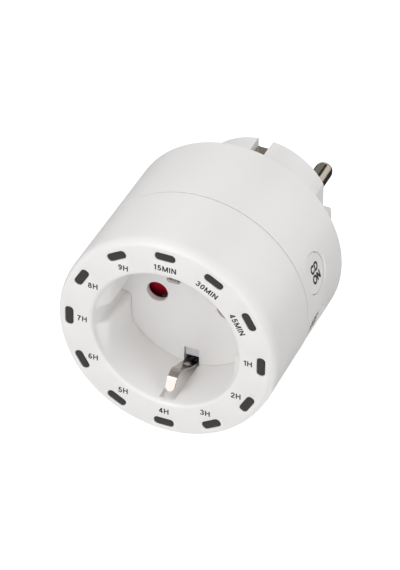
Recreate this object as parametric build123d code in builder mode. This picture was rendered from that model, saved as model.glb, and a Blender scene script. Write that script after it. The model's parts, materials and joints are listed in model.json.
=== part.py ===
from build123d import *

import os
from math import cos, radians, sin

# A plug-in countdown timer switch: a recessed earthed socket on the front, a plug on the back,
# and between them a round two-part housing with a ring of light windows and two side buttons.
#
# Lengths are in millimetres. The axis is Y: the socket looks along -Y, the plug pins point
# along +Y into the wall outlet, X is to the right seen from the socket side, and Z is up.
# Y = 0 is the engagement face that the plug pins stand on.

os.makedirs("parts", exist_ok=True)

# ------------------------------------------------------------------ driving sizes: plug end
pin_spacing = 19.0
pin_radius = 2.4
pin_reach = 19.0  # engagement face to pin tip
pin_collar_radius = 2.6  # the pin where it passes the nose face
pin_flange_radius = 3.6
pin_flange_thickness = 1.6
pin_tail_radius = 1.8
pin_tail_length = 7.0
nose_radius = 18.65
nose_draft = 0.15  # how much smaller the nose is at its face
nose_length = 18.5
nose_face_thickness = 2.2
nose_edge_radius = 0.5
nose_cavity_radius = 16.7
nose_wall = 1.6  # behind the guide flats and the earth strips
guide_flat_distance = 16.0  # axis to the flats at 3 and 9 o'clock
guide_flat_half_height = 9.2
guide_ridge_width = 4.4
earth_distance = 16.0  # axis to the outer face of the earth strips
earth_slot_width = 4.1

# ------------------------------------------------------------------ driving sizes: housing
light_ring_width = 7.35  # recess wall to the outside of the body at the front
body_draft = 0.4  # how much smaller the body is at its rear
body_length = 46.5
front_shell_length = 22.9
shell_wall = 2.0
front_face_thickness = 2.0
rear_wall_thickness = 2.0
front_round_across = 1.3  # the soft front edge is a quarter of an ellipse
front_round_along = 3.6
rear_edge_radius = 0.8
seam_chamfer = 0.22
spigot_length = 3.0
spigot_thickness = 1.3
spigot_root = 2.4  # thick band of the rear shell behind the seam
prong_width = 4.0
shell_gap = 0.1

# ------------------------------------------------------------------ driving sizes: recess
recess_radius = 19.55
recess_depth = 17.5
recess_lip_radius = 1.0
well_wall = 2.2
rail_height = 3.05  # recess wall to the flats of the guide rails
rail_groove_width = 4.8
rail_start = 2.4  # depth at which the rails begin
rail_lead = 1.3
earth_groove_width = 4.2
earth_groove_depth = 1.05
earth_groove_start = 1.8
floor_thickness = 1.6
floor_gap = 0.14
pin_hole_radius = 2.85
clip_slot_width = 4.1
clip_slot_length = 4.65  # recess wall to the inner end of the clip slots

# ------------------------------------------------------------------ driving sizes: light ring
window_count = 12
window_inset = 3.45  # outside of the body to the middle of the windows
window_across = 2.25
window_along = 5.4
window_corner = 0.85
window_gap = 0.06
ring_gap = 0.25
lens_plate_thickness = 1.0
baffle_height = 3.4
baffle_pocket_across = 2.3
baffle_pocket_along = 5.0
led_board_thickness = 1.2
led_across = 2.0
led_along = 3.2
led_height = 1.3

# ------------------------------------------------------------------ driving sizes: screws
screw_count = 4
screw_angle = 45.0
screw_inset = 3.75  # outside of the body to the screws
screw_shank_radius = 1.1
screw_head_radius = 1.9
screw_head_height = 1.6
screw_grip = 9.0  # thread length inside the front boss
boss_radius = 1.9
boss_seat = 2.5  # plastic under each screw head
screw_gap = 0.05
tube_wall = 0.8
board_rib_thickness = 1.2
board_rib_reach = 2.6

# ------------------------------------------------------------------ driving sizes: buttons
button_clock = 16.0  # degrees above and below 3 o'clock
button_depth = 30.8  # front face to button centre
button_radius = 5.3
button_hole_gap = 0.15
button_recess = 0.85  # how far the flat top lies below the body's surface
button_thickness = 2.55
button_edge_radius = 0.35
button_flange_radius = 6.0
button_flange_thickness = 0.8
button_stem_radius = 1.5
button_collar_radius = 7.0
button_travel = 0.5
slide_gap = 0.05
tact_size = 6.0
tact_depth = 3.5
tact_plunger_radius = 1.6
tact_plunger_reach = 1.5

# ------------------------------------------------------------------ driving sizes: shutter
post_radius = 1.9
shutter_gap = 0.2  # socket floor to shutter
shutter_hub_radius = 3.8
shutter_bore_gap = 0.06
shutter_height = 3.3
shutter_web = 1.0  # thickness of a wing's low edge
shutter_hub_height = 1.9
wing_reach = 13.6
wing_lead_angle = 20.0
wing_trail_angle = 19.5
spring_wire = 0.36
spring_radius = 2.85
spring_turns = 3
spring_pitch = 0.46
spring_leg = 3.4

# ------------------------------------------------------------------ driving sizes: contacts
chamber_depth = 4.4  # room for the shutter between the socket floor and the carrier
carrier_plate = 2.0
carrier_rim_width = 1.3  # at the rails
carrier_notch_depth = 2.25  # recess wall to the passages behind the clip slots
carrier_post_gap = 0.06
tower_length = 11.2
tower_wall = 1.5
contact_width = 6.0
contact_thickness = 0.8
contact_half_gap = 2.3  # pin axis to the contact face at the pinch
contact_splay = 0.6  # how far the leaves open behind the pinch
contact_flare = 1.0  # how far they open at the mouth
contact_room = 0.35
clip_thickness = 0.5
clip_width = 2.9
clip_crest_bend = 1.5
clip_soft_bend = 4.5
strip_thickness = 0.8
strip_width = 3.8
strip_bend = 0.9
strip_gap = 0.05
link_thickness = 0.8
link_width = 3.0
link_distance = 17.5  # axis to the middle of the links beside the contact towers
link_step_length = 5.2
earth_ring_inner = 17.0
earth_ring_outer = 19.4

# ------------------------------------------------------------------ driving sizes: electronics
board_thickness = 1.6
board_gap = 0.3
board_edge_gap = 0.55  # rear shell to the board's edge
relay_across = 20.0
relay_up = 10.2
relay_clearance = 2.3  # relay to the rear wall
film_across = 13.0
film_up = 5.5
film_height = 11.0
micro_across = 3.9
micro_up = 8.7
micro_height = 1.5
rectifier_across = 4.7
rectifier_up = 3.9
rectifier_height = 2.4
fuse_radius = 4.2
fuse_height = 7.5
fuse_rise = 9.0
varistor_radius = 4.5
varistor_thickness = 3.6
varistor_drop = 8.6
electrolytic_radius = 4.0
electrolytic_clearance = 4.7
resistor_length = 3.2
resistor_width = 1.6
resistor_height = 0.6
resistor_clocks = (-24, -14, 14, 24)
component_gap = 1.4
component_edge = 0.4

# ------------------------------------------------------------------ distances from the axis
earth_groove_radius = recess_radius + earth_groove_depth
well_radius = earth_groove_radius + well_wall / 2
body_radius = well_radius + light_ring_width
inner_radius = body_radius - body_draft - shell_wall
rail_distance = recess_radius - rail_height
clip_slot_inner = recess_radius - clip_slot_length
window_circle_radius = body_radius - window_inset
screw_circle_radius = body_radius - screw_inset
board_radius = inner_radius - board_edge_gap
button_top_distance = body_radius - button_recess
carrier_rim_radius = rail_distance - carrier_rim_width
carrier_flange_radius = well_radius - shell_gap
carrier_notch_inner = recess_radius - carrier_notch_depth
tube_radius = screw_head_radius + screw_gap + tube_wall
pin_xs = (-pin_spacing / 2, pin_spacing / 2)
button_clocks = (90 - button_clock, 90 + button_clock)

# ------------------------------------------------------------------ stations along the axis
shoulder_y = -nose_length
front_y = shoulder_y - body_length
seam_y = front_y + front_shell_length
floor_y = front_y + recess_depth
floor_back_y = floor_y + floor_thickness
plate_y = floor_back_y + chamber_depth
carrier_back_y = plate_y + carrier_plate
tower_end_y = carrier_back_y + tower_length
rear_inner_y = shoulder_y - rear_wall_thickness
nose_inner_y = -nose_face_thickness
button_y = front_y + button_depth
board_back_y = button_y - tact_size / 2
board_front_y = board_back_y - board_thickness
lens_y = front_y + front_face_thickness + slide_gap
baffle_y = lens_y + lens_plate_thickness
led_board_y = baffle_y + baffle_height
led_board_back_y = led_board_y + led_board_thickness


def body_radius_at(y):
    """Outer radius of the drafted housing at y."""
    return body_radius - body_draft * (y - front_y) / body_length


spigot_outer = body_radius_at(seam_y) - shell_wall - shell_gap
spigot_inner = spigot_outer - spigot_thickness


def station(y):
    """Plane square to the axis at y, seen from the socket side: local x is X and local y is Z.

    A negative extrusion from it runs towards the wall outlet.
    """
    return Plane(origin=(0, y, 0), x_dir=(1, 0, 0), z_dir=(0, -1, 0))


def radial_plane(clock, distance):
    """Plane facing outwards at a clock angle in degrees from 12 o'clock, at a distance from the axis."""
    outward = Vector(sin(radians(clock)), 0, cos(radians(clock)))
    centre = outward * distance + Vector(0, button_y, 0)
    return Plane(origin=centre, x_dir=(0, 1, 0), z_dir=outward)


def slab(outline, start, end, mode=Mode.ADD):
    """Extrude a cross-section from station start to station end, towards the wall outlet."""
    with BuildSketch(station(start)) as section:
        outline()
    extrude(section.sketch, amount=start - end, mode=mode)


def save(part, name):
    """Label a finished piece and write it as one STEP file."""
    part.label = name
    export_step(part, "parts/" + name + ".step")


# ------------------------------------------------------------------ shared cross-sections
def recess_outline(gap=0.0):
    """The recess behind the rails' lead-in, shrunk by gap: a circle with two grooved flats."""
    Circle(recess_radius - gap)
    flat = rail_distance - gap
    half_groove = rail_groove_width / 2 - gap
    depth = recess_radius - flat
    height = recess_radius
    corners = [
        (side * (flat + depth / 2), level * (half_groove + height / 2))
        for side in (-1, 1)
        for level in (-1, 1)
    ]
    with Locations(corners):
        Rectangle(depth, height, mode=Mode.SUBTRACT)


def light_ring_outline():
    """Ring between the recess wall and the outer wall, notched round the screw bosses."""
    Circle(body_radius - shell_wall - ring_gap)
    Circle(well_radius + ring_gap, mode=Mode.SUBTRACT)
    with PolarLocations(screw_circle_radius, screw_count, start_angle=screw_angle):
        Circle(boss_radius + ring_gap, mode=Mode.SUBTRACT)


def windows_outline(gap=0.0):
    """The ring of rounded light windows, each shrunk by gap."""
    with PolarLocations(window_circle_radius, window_count):
        RectangleRounded(
            window_across - 2 * gap, window_along - 2 * gap, window_corner - gap
        )


def earth_band(width, outer, inner=0.0):
    """An upright band at 12 and 6 o'clock, between two distances from the axis."""
    Rectangle(width, 2 * outer)
    if inner > 0:
        Rectangle(width, 2 * inner, mode=Mode.SUBTRACT)


# ------------------------------------------------------------------ front shell
with BuildPart() as front_shell:
    with BuildSketch(Plane.XY):
        with BuildLine():
            front_inner = front_y + front_face_thickness
            rail_y = front_y + rail_start
            lip_end = recess_radius + recess_lip_radius
            round_start = body_radius - front_round_across
            seam_radius = body_radius_at(seam_y)
            CenterArc((lip_end, front_y + recess_lip_radius), recess_lip_radius, 270, -90)
            EllipticalCenterArc(
                (round_start, front_y + front_round_along),
                front_round_across,
                front_round_along,
                start_angle=270,
                arc_size=90,
            )
            Line((lip_end, front_y), (round_start, front_y))
            Polyline(
                (body_radius, front_y + front_round_along),
                (seam_radius, seam_y - seam_chamfer),
                (seam_radius - seam_chamfer, seam_y),
                (seam_radius - shell_wall, seam_y),
                (body_radius - shell_wall, front_inner),
                (well_radius, front_inner),
                (well_radius, plate_y),
                (0, plate_y),
                (0, rail_y),
                (recess_radius, rail_y),
                (recess_radius, front_y + recess_lip_radius),
            )
        make_face()
    revolve(axis=Axis.Y)
    slab(recess_outline, rail_y, plate_y, Mode.SUBTRACT)
    rail_ends = front_shell.edges().filter_by(Axis.Z).filter_by_position(
        Axis.Y, rail_y - slide_gap, rail_y + slide_gap
    )
    chamfer(rail_ends, length=rail_lead)
    with BuildSketch(station(front_y + earth_groove_start)):
        Rectangle(earth_groove_width, 2 * earth_groove_radius)
    extrude(amount=-recess_depth - chamber_depth, mode=Mode.SUBTRACT)
    slab(windows_outline, front_y, front_inner, Mode.SUBTRACT)
    with BuildSketch(station(front_inner)):
        with PolarLocations(screw_circle_radius, screw_count, start_angle=screw_angle):
            Circle(boss_radius)
    extrude(amount=front_inner - seam_y)
    with BuildSketch(station(seam_y)):
        with PolarLocations(screw_circle_radius, screw_count, start_angle=screw_angle):
            Circle(screw_shank_radius + screw_gap)
    extrude(amount=screw_grip + screw_gap, mode=Mode.SUBTRACT)
save(front_shell.part, "front_shell")


# ------------------------------------------------------------------ rear shell and plug nose
def nose_cavity_outline():
    """Inside of the nose: round, with flat walls behind the guide flats and the earth slots."""
    Circle(nose_cavity_radius)
    Rectangle(
        2 * (guide_flat_distance - nose_wall),
        2 * (earth_distance - strip_thickness - nose_wall),
        mode=Mode.INTERSECT,
    )


def pin_retainer_outline():
    """The nose's cavity less a small gap, with holes for the pin tails."""
    Circle(nose_cavity_radius - board_gap)
    Rectangle(
        2 * (guide_flat_distance - nose_wall - board_gap),
        2 * (earth_distance - strip_thickness - nose_wall - board_gap),
        mode=Mode.INTERSECT,
    )
    with Locations((pin_xs[0], 0), (pin_xs[1], 0)):
        Circle(pin_tail_radius + slide_gap, mode=Mode.SUBTRACT)


retainer_screw_height = 9.0
retainer_screw_radius = 1.0
retainer_thickness = 3.0
retainer_y = nose_inner_y - pin_flange_thickness - retainer_thickness
retainer_screws_at = ((0, retainer_screw_height), (0, -retainer_screw_height))

with BuildPart() as rear_shell:
    with BuildSketch(Plane.XY):
        with BuildLine():
            rear_radius = body_radius - body_draft
            face_radius = nose_radius - nose_draft
            RadiusArc(
                (rear_radius, shoulder_y - rear_edge_radius),
                (rear_radius - rear_edge_radius, shoulder_y),
                -rear_edge_radius,
            )
            RadiusArc(
                (face_radius, -nose_edge_radius),
                (face_radius - nose_edge_radius, 0),
                -nose_edge_radius,
            )
            Polyline(
                (rear_radius - rear_edge_radius, shoulder_y),
                (nose_radius, shoulder_y),
                (face_radius, -nose_edge_radius),
            )
            Polyline(
                (face_radius - nose_edge_radius, 0),
                (0, 0),
                (0, rear_inner_y),
                (inner_radius, rear_inner_y),
                (inner_radius, seam_y + spigot_root + spigot_thickness),
                (spigot_inner, seam_y + spigot_root),
                (spigot_inner, seam_y - spigot_length),
                (spigot_outer, seam_y - spigot_length),
                (spigot_outer, seam_y),
                (seam_radius - seam_chamfer, seam_y),
                (seam_radius, seam_y + seam_chamfer),
                (rear_radius, shoulder_y - rear_edge_radius),
            )
        make_face()
    revolve(axis=Axis.Y)
    slab(nose_cavity_outline, rear_inner_y, nose_inner_y, Mode.SUBTRACT)

    # guide flats each side of the nose, with the central ridge left standing
    with BuildSketch(station(shoulder_y)):
        notch_height = guide_flat_half_height - guide_ridge_width / 2
        notch_depth = nose_radius - guide_flat_distance + shell_gap
        with Locations(
            *[
                (
                    side * (guide_flat_distance + notch_depth / 2),
                    level * (guide_ridge_width + notch_height) / 2,
                )
                for side in (-1, 1)
                for level in (-1, 1)
            ]
        ):
            Rectangle(notch_depth, notch_height)
    extrude(amount=-nose_length, mode=Mode.SUBTRACT)

    # slots for the earth strips: open along the nose, a narrow pass through the rear wall
    strip_inner = earth_distance - strip_thickness - slide_gap
    with BuildSketch(station(shoulder_y)):
        earth_band(earth_slot_width, nose_radius + shell_gap, strip_inner)
    extrude(amount=-nose_length, mode=Mode.SUBTRACT)
    with BuildSketch(station(rear_inner_y)):
        earth_band(earth_slot_width, earth_distance + shell_gap, strip_inner)
    extrude(amount=-rear_wall_thickness, mode=Mode.SUBTRACT)

    with BuildSketch(station(nose_inner_y)):
        with Locations((pin_xs[0], 0), (pin_xs[1], 0)):
            Circle(pin_collar_radius + slide_gap)
    extrude(amount=-nose_face_thickness, mode=Mode.SUBTRACT)

    # posts that the pin retainer is screwed to
    with BuildSketch(station(nose_inner_y - pin_flange_thickness)):
        with Locations(*retainer_screws_at):
            Circle(2 * retainer_screw_radius)
            Circle(retainer_screw_radius + slide_gap, mode=Mode.SUBTRACT)
    extrude(amount=-pin_flange_thickness)

    # screw tubes with a rib each, which seats the main board
    with BuildSketch(station(seam_y)):
        with PolarLocations(screw_circle_radius, screw_count, start_angle=screw_angle):
            Circle(tube_radius)
    extrude(amount=seam_y - rear_inner_y)
    with BuildSketch(station(board_back_y)):
        rib_centre = screw_circle_radius - tube_radius - board_rib_reach / 2
        with PolarLocations(rib_centre, screw_count, start_angle=screw_angle):
            Rectangle(board_rib_reach + tube_wall, board_rib_thickness)
    extrude(amount=board_back_y - rear_inner_y)
    with BuildSketch(station(seam_y)):
        with PolarLocations(screw_circle_radius, screw_count, start_angle=screw_angle):
            Circle(screw_shank_radius + 2 * screw_gap)
    extrude(amount=-boss_seat, mode=Mode.SUBTRACT)
    with BuildSketch(station(seam_y + boss_seat)):
        with PolarLocations(screw_circle_radius, screw_count, start_angle=screw_angle):
            Circle(screw_head_radius + screw_gap)
    extrude(amount=seam_y + boss_seat - shoulder_y, mode=Mode.SUBTRACT)
    with BuildSketch(station(seam_y - spigot_length)):
        with PolarLocations(screw_circle_radius, screw_count, start_angle=screw_angle):
            Circle(boss_radius + ring_gap)
    extrude(amount=-spigot_length, mode=Mode.SUBTRACT)

    # prongs that hold the light ring against the front
    with BuildSketch(station(led_board_back_y)):
        Rectangle(2 * spigot_outer, prong_width)
        Rectangle(prong_width, 2 * spigot_outer)
        Circle(spigot_outer, mode=Mode.INTERSECT)
        Circle(spigot_inner, mode=Mode.SUBTRACT)
    extrude(amount=led_board_back_y - seam_y)

    # guide collars, flange pockets and holes for the two buttons
    flange_top = button_top_distance - button_thickness
    pocket_floor = flange_top - button_flange_thickness - 2 * button_travel
    for clock in button_clocks:
        collar_height = inner_radius + shell_wall / 4 - flange_top - slide_gap
        with BuildSketch(radial_plane(clock, pocket_floor)):
            Circle(button_flange_radius + board_gap)
        extrude(amount=flange_top + slide_gap - pocket_floor, mode=Mode.SUBTRACT)
        with BuildSketch(radial_plane(clock, flange_top + slide_gap)):
            Circle(button_collar_radius)
        extrude(amount=collar_height)
        with BuildSketch(radial_plane(clock, flange_top)):
            Circle(button_radius + button_hole_gap)
        extrude(amount=2 * shell_wall + button_thickness, mode=Mode.SUBTRACT)
save(rear_shell.part, "rear_shell")

# ------------------------------------------------------------------ light ring
with BuildPart() as lens_ring:
    slab(light_ring_outline, lens_y, lens_y + lens_plate_thickness)
    with BuildSketch(station(front_y)):
        windows_outline(window_gap)
    extrude(amount=front_y - lens_y - slide_gap)
save(lens_ring.part, "lens_ring")

with BuildPart() as light_baffle:
    slab(light_ring_outline, baffle_y, led_board_y)
    with BuildSketch(station(baffle_y)):
        with PolarLocations(window_circle_radius - ring_gap, window_count):
            Rectangle(baffle_pocket_across, baffle_pocket_along)
    extrude(amount=-baffle_height, mode=Mode.SUBTRACT)
save(light_baffle.part, "light_baffle")

with BuildPart() as led_board:
    slab(light_ring_outline, led_board_y, led_board_back_y)
save(led_board.part, "led_board")

with BuildPart() as leds:
    with BuildSketch(station(led_board_y)):
        with PolarLocations(window_circle_radius - ring_gap, window_count):
            Rectangle(led_across, led_along)
    extrude(amount=led_height)
save(leds.part, "leds")

ribbon_distance = (well_radius + spigot_inner) / 2
ribbon_wires = 8
ribbon_pitch = 1.0
with BuildPart() as led_ribbon:
    with BuildSketch(station(led_board_back_y)):
        with Locations((-ribbon_distance, 0)):
            with GridLocations(0, ribbon_pitch, 1, ribbon_wires):
                Circle(0.55 * ribbon_pitch)
    extrude(amount=led_board_back_y - board_front_y)
save(led_ribbon.part, "led_ribbon")

# ------------------------------------------------------------------ socket floor
with BuildPart() as socket_floor:
    with BuildSketch(station(floor_y)):
        recess_outline(floor_gap)
        slot_length = recess_radius - clip_slot_inner
        slot_centre = clip_slot_inner + slot_length / 2
        with Locations((0, slot_centre), (0, -slot_centre)):
            Rectangle(clip_slot_width, slot_length, mode=Mode.SUBTRACT)
        with Locations((pin_xs[0], 0), (pin_xs[1], 0)):
            Circle(pin_hole_radius, mode=Mode.SUBTRACT)
    extrude(amount=-floor_thickness)
    with BuildSketch(station(floor_back_y)):
        Circle(post_radius)
    extrude(amount=-chamber_depth - carrier_plate)
save(socket_floor.part, "socket_floor")

# ------------------------------------------------------------------ safety shutter
shutter_y = floor_back_y + shutter_gap
ramp_low_y = shutter_y + shutter_height - shutter_web
ramp_top = wing_reach * sin(radians(wing_lead_angle)) / 2
ramp_end = wing_reach * sin(radians(wing_trail_angle)) * 0.9

with BuildPart() as shutter:
    with BuildSketch(station(shutter_y)):
        Circle(shutter_hub_radius)
    extrude(amount=-shutter_hub_height)
    for turn in (0, 180):
        with BuildSketch(station(shutter_y)):
            with BuildLine():
                rim = CenterArc(
                    (0, 0),
                    wing_reach,
                    turn - wing_lead_angle,
                    wing_lead_angle + wing_trail_angle,
                )
                Line((0, 0), rim @ 0)
                Line(rim @ 1, (0, 0))
            make_face()
            Circle(shutter_hub_radius - shutter_gap, mode=Mode.SUBTRACT)
        extrude(amount=-shutter_height)
    for side in (-1, 1):
        # each wing's face is a ramp that a pin slides down, which turns the shutter aside
        with BuildSketch(Plane.YZ.offset(side * shutter_hub_radius)):
            with BuildLine():
                Polyline(
                    (shutter_y - shutter_gap, -side * ramp_top),
                    (shutter_y - shutter_gap, side * wing_reach),
                    (ramp_low_y, side * wing_reach),
                    (ramp_low_y, side * ramp_end),
                    (shutter_y, -side * ramp_top),
                    close=True,
                )
            make_face()
        extrude(amount=side * wing_reach, mode=Mode.SUBTRACT)
    with BuildSketch(station(shutter_y)):
        Circle(post_radius + shutter_bore_gap)
    extrude(amount=-shutter_height, mode=Mode.SUBTRACT)
save(shutter.part, "shutter")

with BuildPart() as shutter_spring:
    with BuildLine():
        spring_y = shutter_y + shutter_hub_height + spring_wire
        coil = Helix(
            pitch=spring_pitch,
            height=spring_pitch * spring_turns,
            radius=spring_radius,
            center=(0, spring_y, 0),
            direction=(0, 1, 0),
        )
        Line(coil @ 0, (coil @ 0) - (coil % 0) * spring_leg)
        Line(coil @ 1, (coil @ 1) + (coil % 1) * spring_leg)
    wire_start = (coil @ 0) - (coil % 0) * spring_leg
    with BuildSketch(Plane(origin=wire_start, z_dir=coil % 0)):
        RegularPolygon(spring_wire / 2, side_count=6)
    sweep()
save(shutter_spring.part, "shutter_spring")

# ------------------------------------------------------------------ contact carrier
leaf_distance = contact_half_gap + contact_splay + contact_thickness / 2
mouth_distance = contact_half_gap + contact_flare + contact_thickness / 2
tower_room_up = 2 * (mouth_distance + contact_thickness / 2 + contact_room)
tower_room_across = contact_width + 2 * contact_room
tower_centres = ((pin_xs[0], 0), (pin_xs[1], 0))


def clip_passage(outer):
    """Passages at 12 and 6 o'clock for the earth clips, from the notch's inner end to outer."""
    length = outer - carrier_notch_inner
    centre = carrier_notch_inner + length / 2
    with Locations((0, centre), (0, -centre)):
        Rectangle(earth_groove_width, length)


with BuildPart() as contact_carrier:
    with BuildSketch(station(floor_back_y)):
        recess_outline(floor_gap)
        Circle(carrier_rim_radius, mode=Mode.SUBTRACT)
    extrude(amount=-chamber_depth)
    with BuildSketch(station(plate_y)):
        Circle(carrier_flange_radius)
    extrude(amount=-carrier_plate)
    with BuildSketch(station(carrier_back_y)):
        with Locations(*tower_centres):
            Rectangle(tower_room_across + 2 * tower_wall, tower_room_up + 2 * tower_wall)
        Rectangle(pin_spacing, 2 * tower_wall)
    extrude(amount=-tower_length)
    with BuildSketch(station(plate_y)):
        with Locations(*tower_centres):
            Rectangle(tower_room_across, tower_room_up)
    extrude(amount=-carrier_plate - tower_length, mode=Mode.SUBTRACT)
    with BuildSketch(station(plate_y)):
        Circle(post_radius + carrier_post_gap)
    extrude(amount=-carrier_plate - tower_wall, mode=Mode.SUBTRACT)
    with BuildSketch(station(floor_back_y)):
        clip_passage(carrier_flange_radius + shell_gap)
    extrude(amount=-chamber_depth - carrier_plate, mode=Mode.SUBTRACT)
    with BuildSketch(station(carrier_back_y)):
        with PolarLocations(carrier_flange_radius - 2 * tower_wall, screw_count, screw_angle):
            Circle(tower_wall)
    extrude(amount=carrier_back_y - board_front_y)
save(contact_carrier.part, "contact_carrier")

# ------------------------------------------------------------------ socket contacts
contact_base_y = floor_y + pin_reach + contact_thickness
mouth_y = plate_y + contact_room
pinch_y = plate_y + tower_length / 4
splay_y = plate_y + tower_length / 2


def socket_contact(x):
    """A fork of two sprung leaves that grips a plug pin at x, open towards the socket floor."""
    with BuildSketch(Plane.YZ.offset(x)) as fork:
        with BuildLine():
            FilletPolyline(
                (mouth_y, mouth_distance),
                (pinch_y, contact_half_gap + contact_thickness / 2),
                (splay_y, leaf_distance),
                (contact_base_y, leaf_distance),
                (contact_base_y, -leaf_distance),
                (splay_y, -leaf_distance),
                (pinch_y, -contact_half_gap - contact_thickness / 2),
                (mouth_y, -mouth_distance),
                radius=contact_thickness,
            )
        trace(line_width=contact_thickness)
    extrude(fork.sketch, amount=contact_width / 2, both=True)


with BuildPart() as live_contact:
    socket_contact(pin_xs[1])
save(live_contact.part, "live_contact")

with BuildPart() as neutral_contact:
    socket_contact(pin_xs[0])
    # a tab reaches out to the neutral link
    with BuildSketch(Plane.YZ.offset(pin_xs[0])):
        with Locations((contact_base_y, 0)):
            Rectangle(contact_thickness, link_width)
    extrude(amount=pin_xs[0] + link_distance - link_thickness / 2, dir=(-1, 0, 0))
save(neutral_contact.part, "neutral_contact")

# ------------------------------------------------------------------ earth clips and strips
clip_foot = carrier_notch_inner + 2.05  # axis to the middle of the clip's foot
clip_path = (  # depth from the front face, and distance from the axis
    (2.8, recess_radius - 1.55),  # tip
    (5.6, recess_radius - 3.45),
    (7.2, recess_radius - 5.2),  # crest, which touches a plug's earth strip
    (10.4, recess_radius - 3.95),
    (14.7, recess_radius - 1.1),
    (recess_depth + board_gap, clip_foot),
    (recess_depth + 9.5, clip_foot),
)
clip_bends = (clip_soft_bend, clip_crest_bend, clip_soft_bend, clip_soft_bend, clip_soft_bend)
strip_lead = clip_foot + (clip_thickness + strip_thickness) / 2 + strip_gap
strip_step_y = rear_inner_y - 3 * strip_thickness / 2
strip_rest = earth_distance - strip_thickness / 2

for level, place in ((1, "upper"), (-1, "lower")):
    with BuildPart() as earth_clip:
        with BuildSketch(Plane.YZ):
            with BuildLine():
                FilletPolyline(
                    [(front_y + depth, level * distance) for depth, distance in clip_path],
                    radius=clip_bends,
                )
            trace(line_width=clip_thickness)
        extrude(amount=clip_width / 2, both=True)
        tip_corners = earth_clip.edges().filter_by(
            lambda edge: abs(edge.length - clip_thickness) < slide_gap
        )
        fillet(tip_corners.sort_by(Axis.Y)[:2], radius=clip_width / 2 - slide_gap)
    save(earth_clip.part, "earth_clip_" + place)

    with BuildPart() as earth_strip:
        with BuildSketch(Plane.YZ):
            with BuildLine():
                FilletPolyline(
                    (plate_y + shutter_gap, level * strip_lead),
                    (strip_step_y, level * strip_lead),
                    (strip_step_y, level * strip_rest),
                    (-nose_edge_radius, level * strip_rest),
                    radius=strip_bend,
                )
            trace(line_width=strip_thickness)
        extrude(amount=strip_width / 2, both=True)
    save(earth_strip.part, "earth_strip_" + place)

with BuildPart() as earth_ring:
    with BuildSketch(station(rear_inner_y - strip_thickness)):
        Circle(earth_ring_outer)
        Circle(earth_ring_inner, mode=Mode.SUBTRACT)
        with Locations((earth_ring_outer / 2 - strip_width / 2, 0)):
            Rectangle(earth_ring_outer, 2 * earth_ring_outer, mode=Mode.INTERSECT)
    extrude(amount=-strip_thickness)
save(earth_ring.part, "earth_ring")

# ------------------------------------------------------------------ plug pins
pin_tail_end = nose_inner_y - pin_flange_thickness - pin_tail_length
for x, place in ((pin_xs[0], "left"), (pin_xs[1], "right")):
    with BuildPart() as plug_pin:
        with BuildSketch(Plane.XY):
            with BuildLine():
                flange_y = nose_inner_y - pin_flange_thickness
                Polyline(
                    (x, pin_reach),
                    (x, pin_tail_end),
                    (x + pin_tail_radius, pin_tail_end),
                    (x + pin_tail_radius, flange_y),
                    (x + pin_flange_radius, flange_y),
                    (x + pin_flange_radius, nose_inner_y),
                    (x + pin_collar_radius, nose_inner_y),
                    (x + pin_collar_radius, 0),
                    (x + pin_radius, 0),
                    (x + pin_radius, pin_reach - pin_radius),
                )
                CenterArc((x, pin_reach - pin_radius), pin_radius, 0, 90)
            make_face()
        revolve(axis=Axis((x, 0, 0), (0, 1, 0)))
    save(plug_pin.part, "plug_pin_" + place)

with BuildPart() as pin_retainer:
    with BuildSketch(station(retainer_y)):
        pin_retainer_outline()
        with Locations(*retainer_screws_at):
            Circle(retainer_screw_radius + slide_gap, mode=Mode.SUBTRACT)
    extrude(amount=-retainer_thickness)
save(pin_retainer.part, "pin_retainer")

# ------------------------------------------------------------------ links and busbar
for side, name in ((-1, "neutral_link"), (1, "live_link")):
    with BuildPart() as link:
        with BuildSketch(Plane.XY):
            with BuildLine():
                tail_side = pin_spacing / 2 + pin_tail_radius + link_thickness / 2
                FilletPolyline(
                    (side * tail_side, pin_tail_end + pin_tail_length / 2),
                    (side * tail_side, rear_inner_y - link_thickness),
                    (side * link_distance, rear_inner_y - link_thickness - link_step_length),
                    (side * link_distance, board_front_y - link_thickness / 2),
                    radius=2 * link_thickness,
                )
            trace(line_width=link_thickness)
        extrude(amount=link_width / 2, both=True)
    save(link.part, name)

busbar_height = tower_room_up / 2 + tower_wall + 1.0
with BuildPart() as live_busbar:
    with BuildSketch(Plane.YZ.offset(pin_xs[1])):
        with BuildLine():
            busbar_y = contact_base_y + (contact_thickness + link_thickness) / 2
            FilletPolyline(
                (busbar_y, -link_width / 2),
                (busbar_y, busbar_height),
                (board_back_y, busbar_height),
                radius=link_thickness,
            )
        trace(line_width=link_thickness)
    extrude(amount=link_width / 2, both=True)
save(live_busbar.part, "live_busbar")

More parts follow.
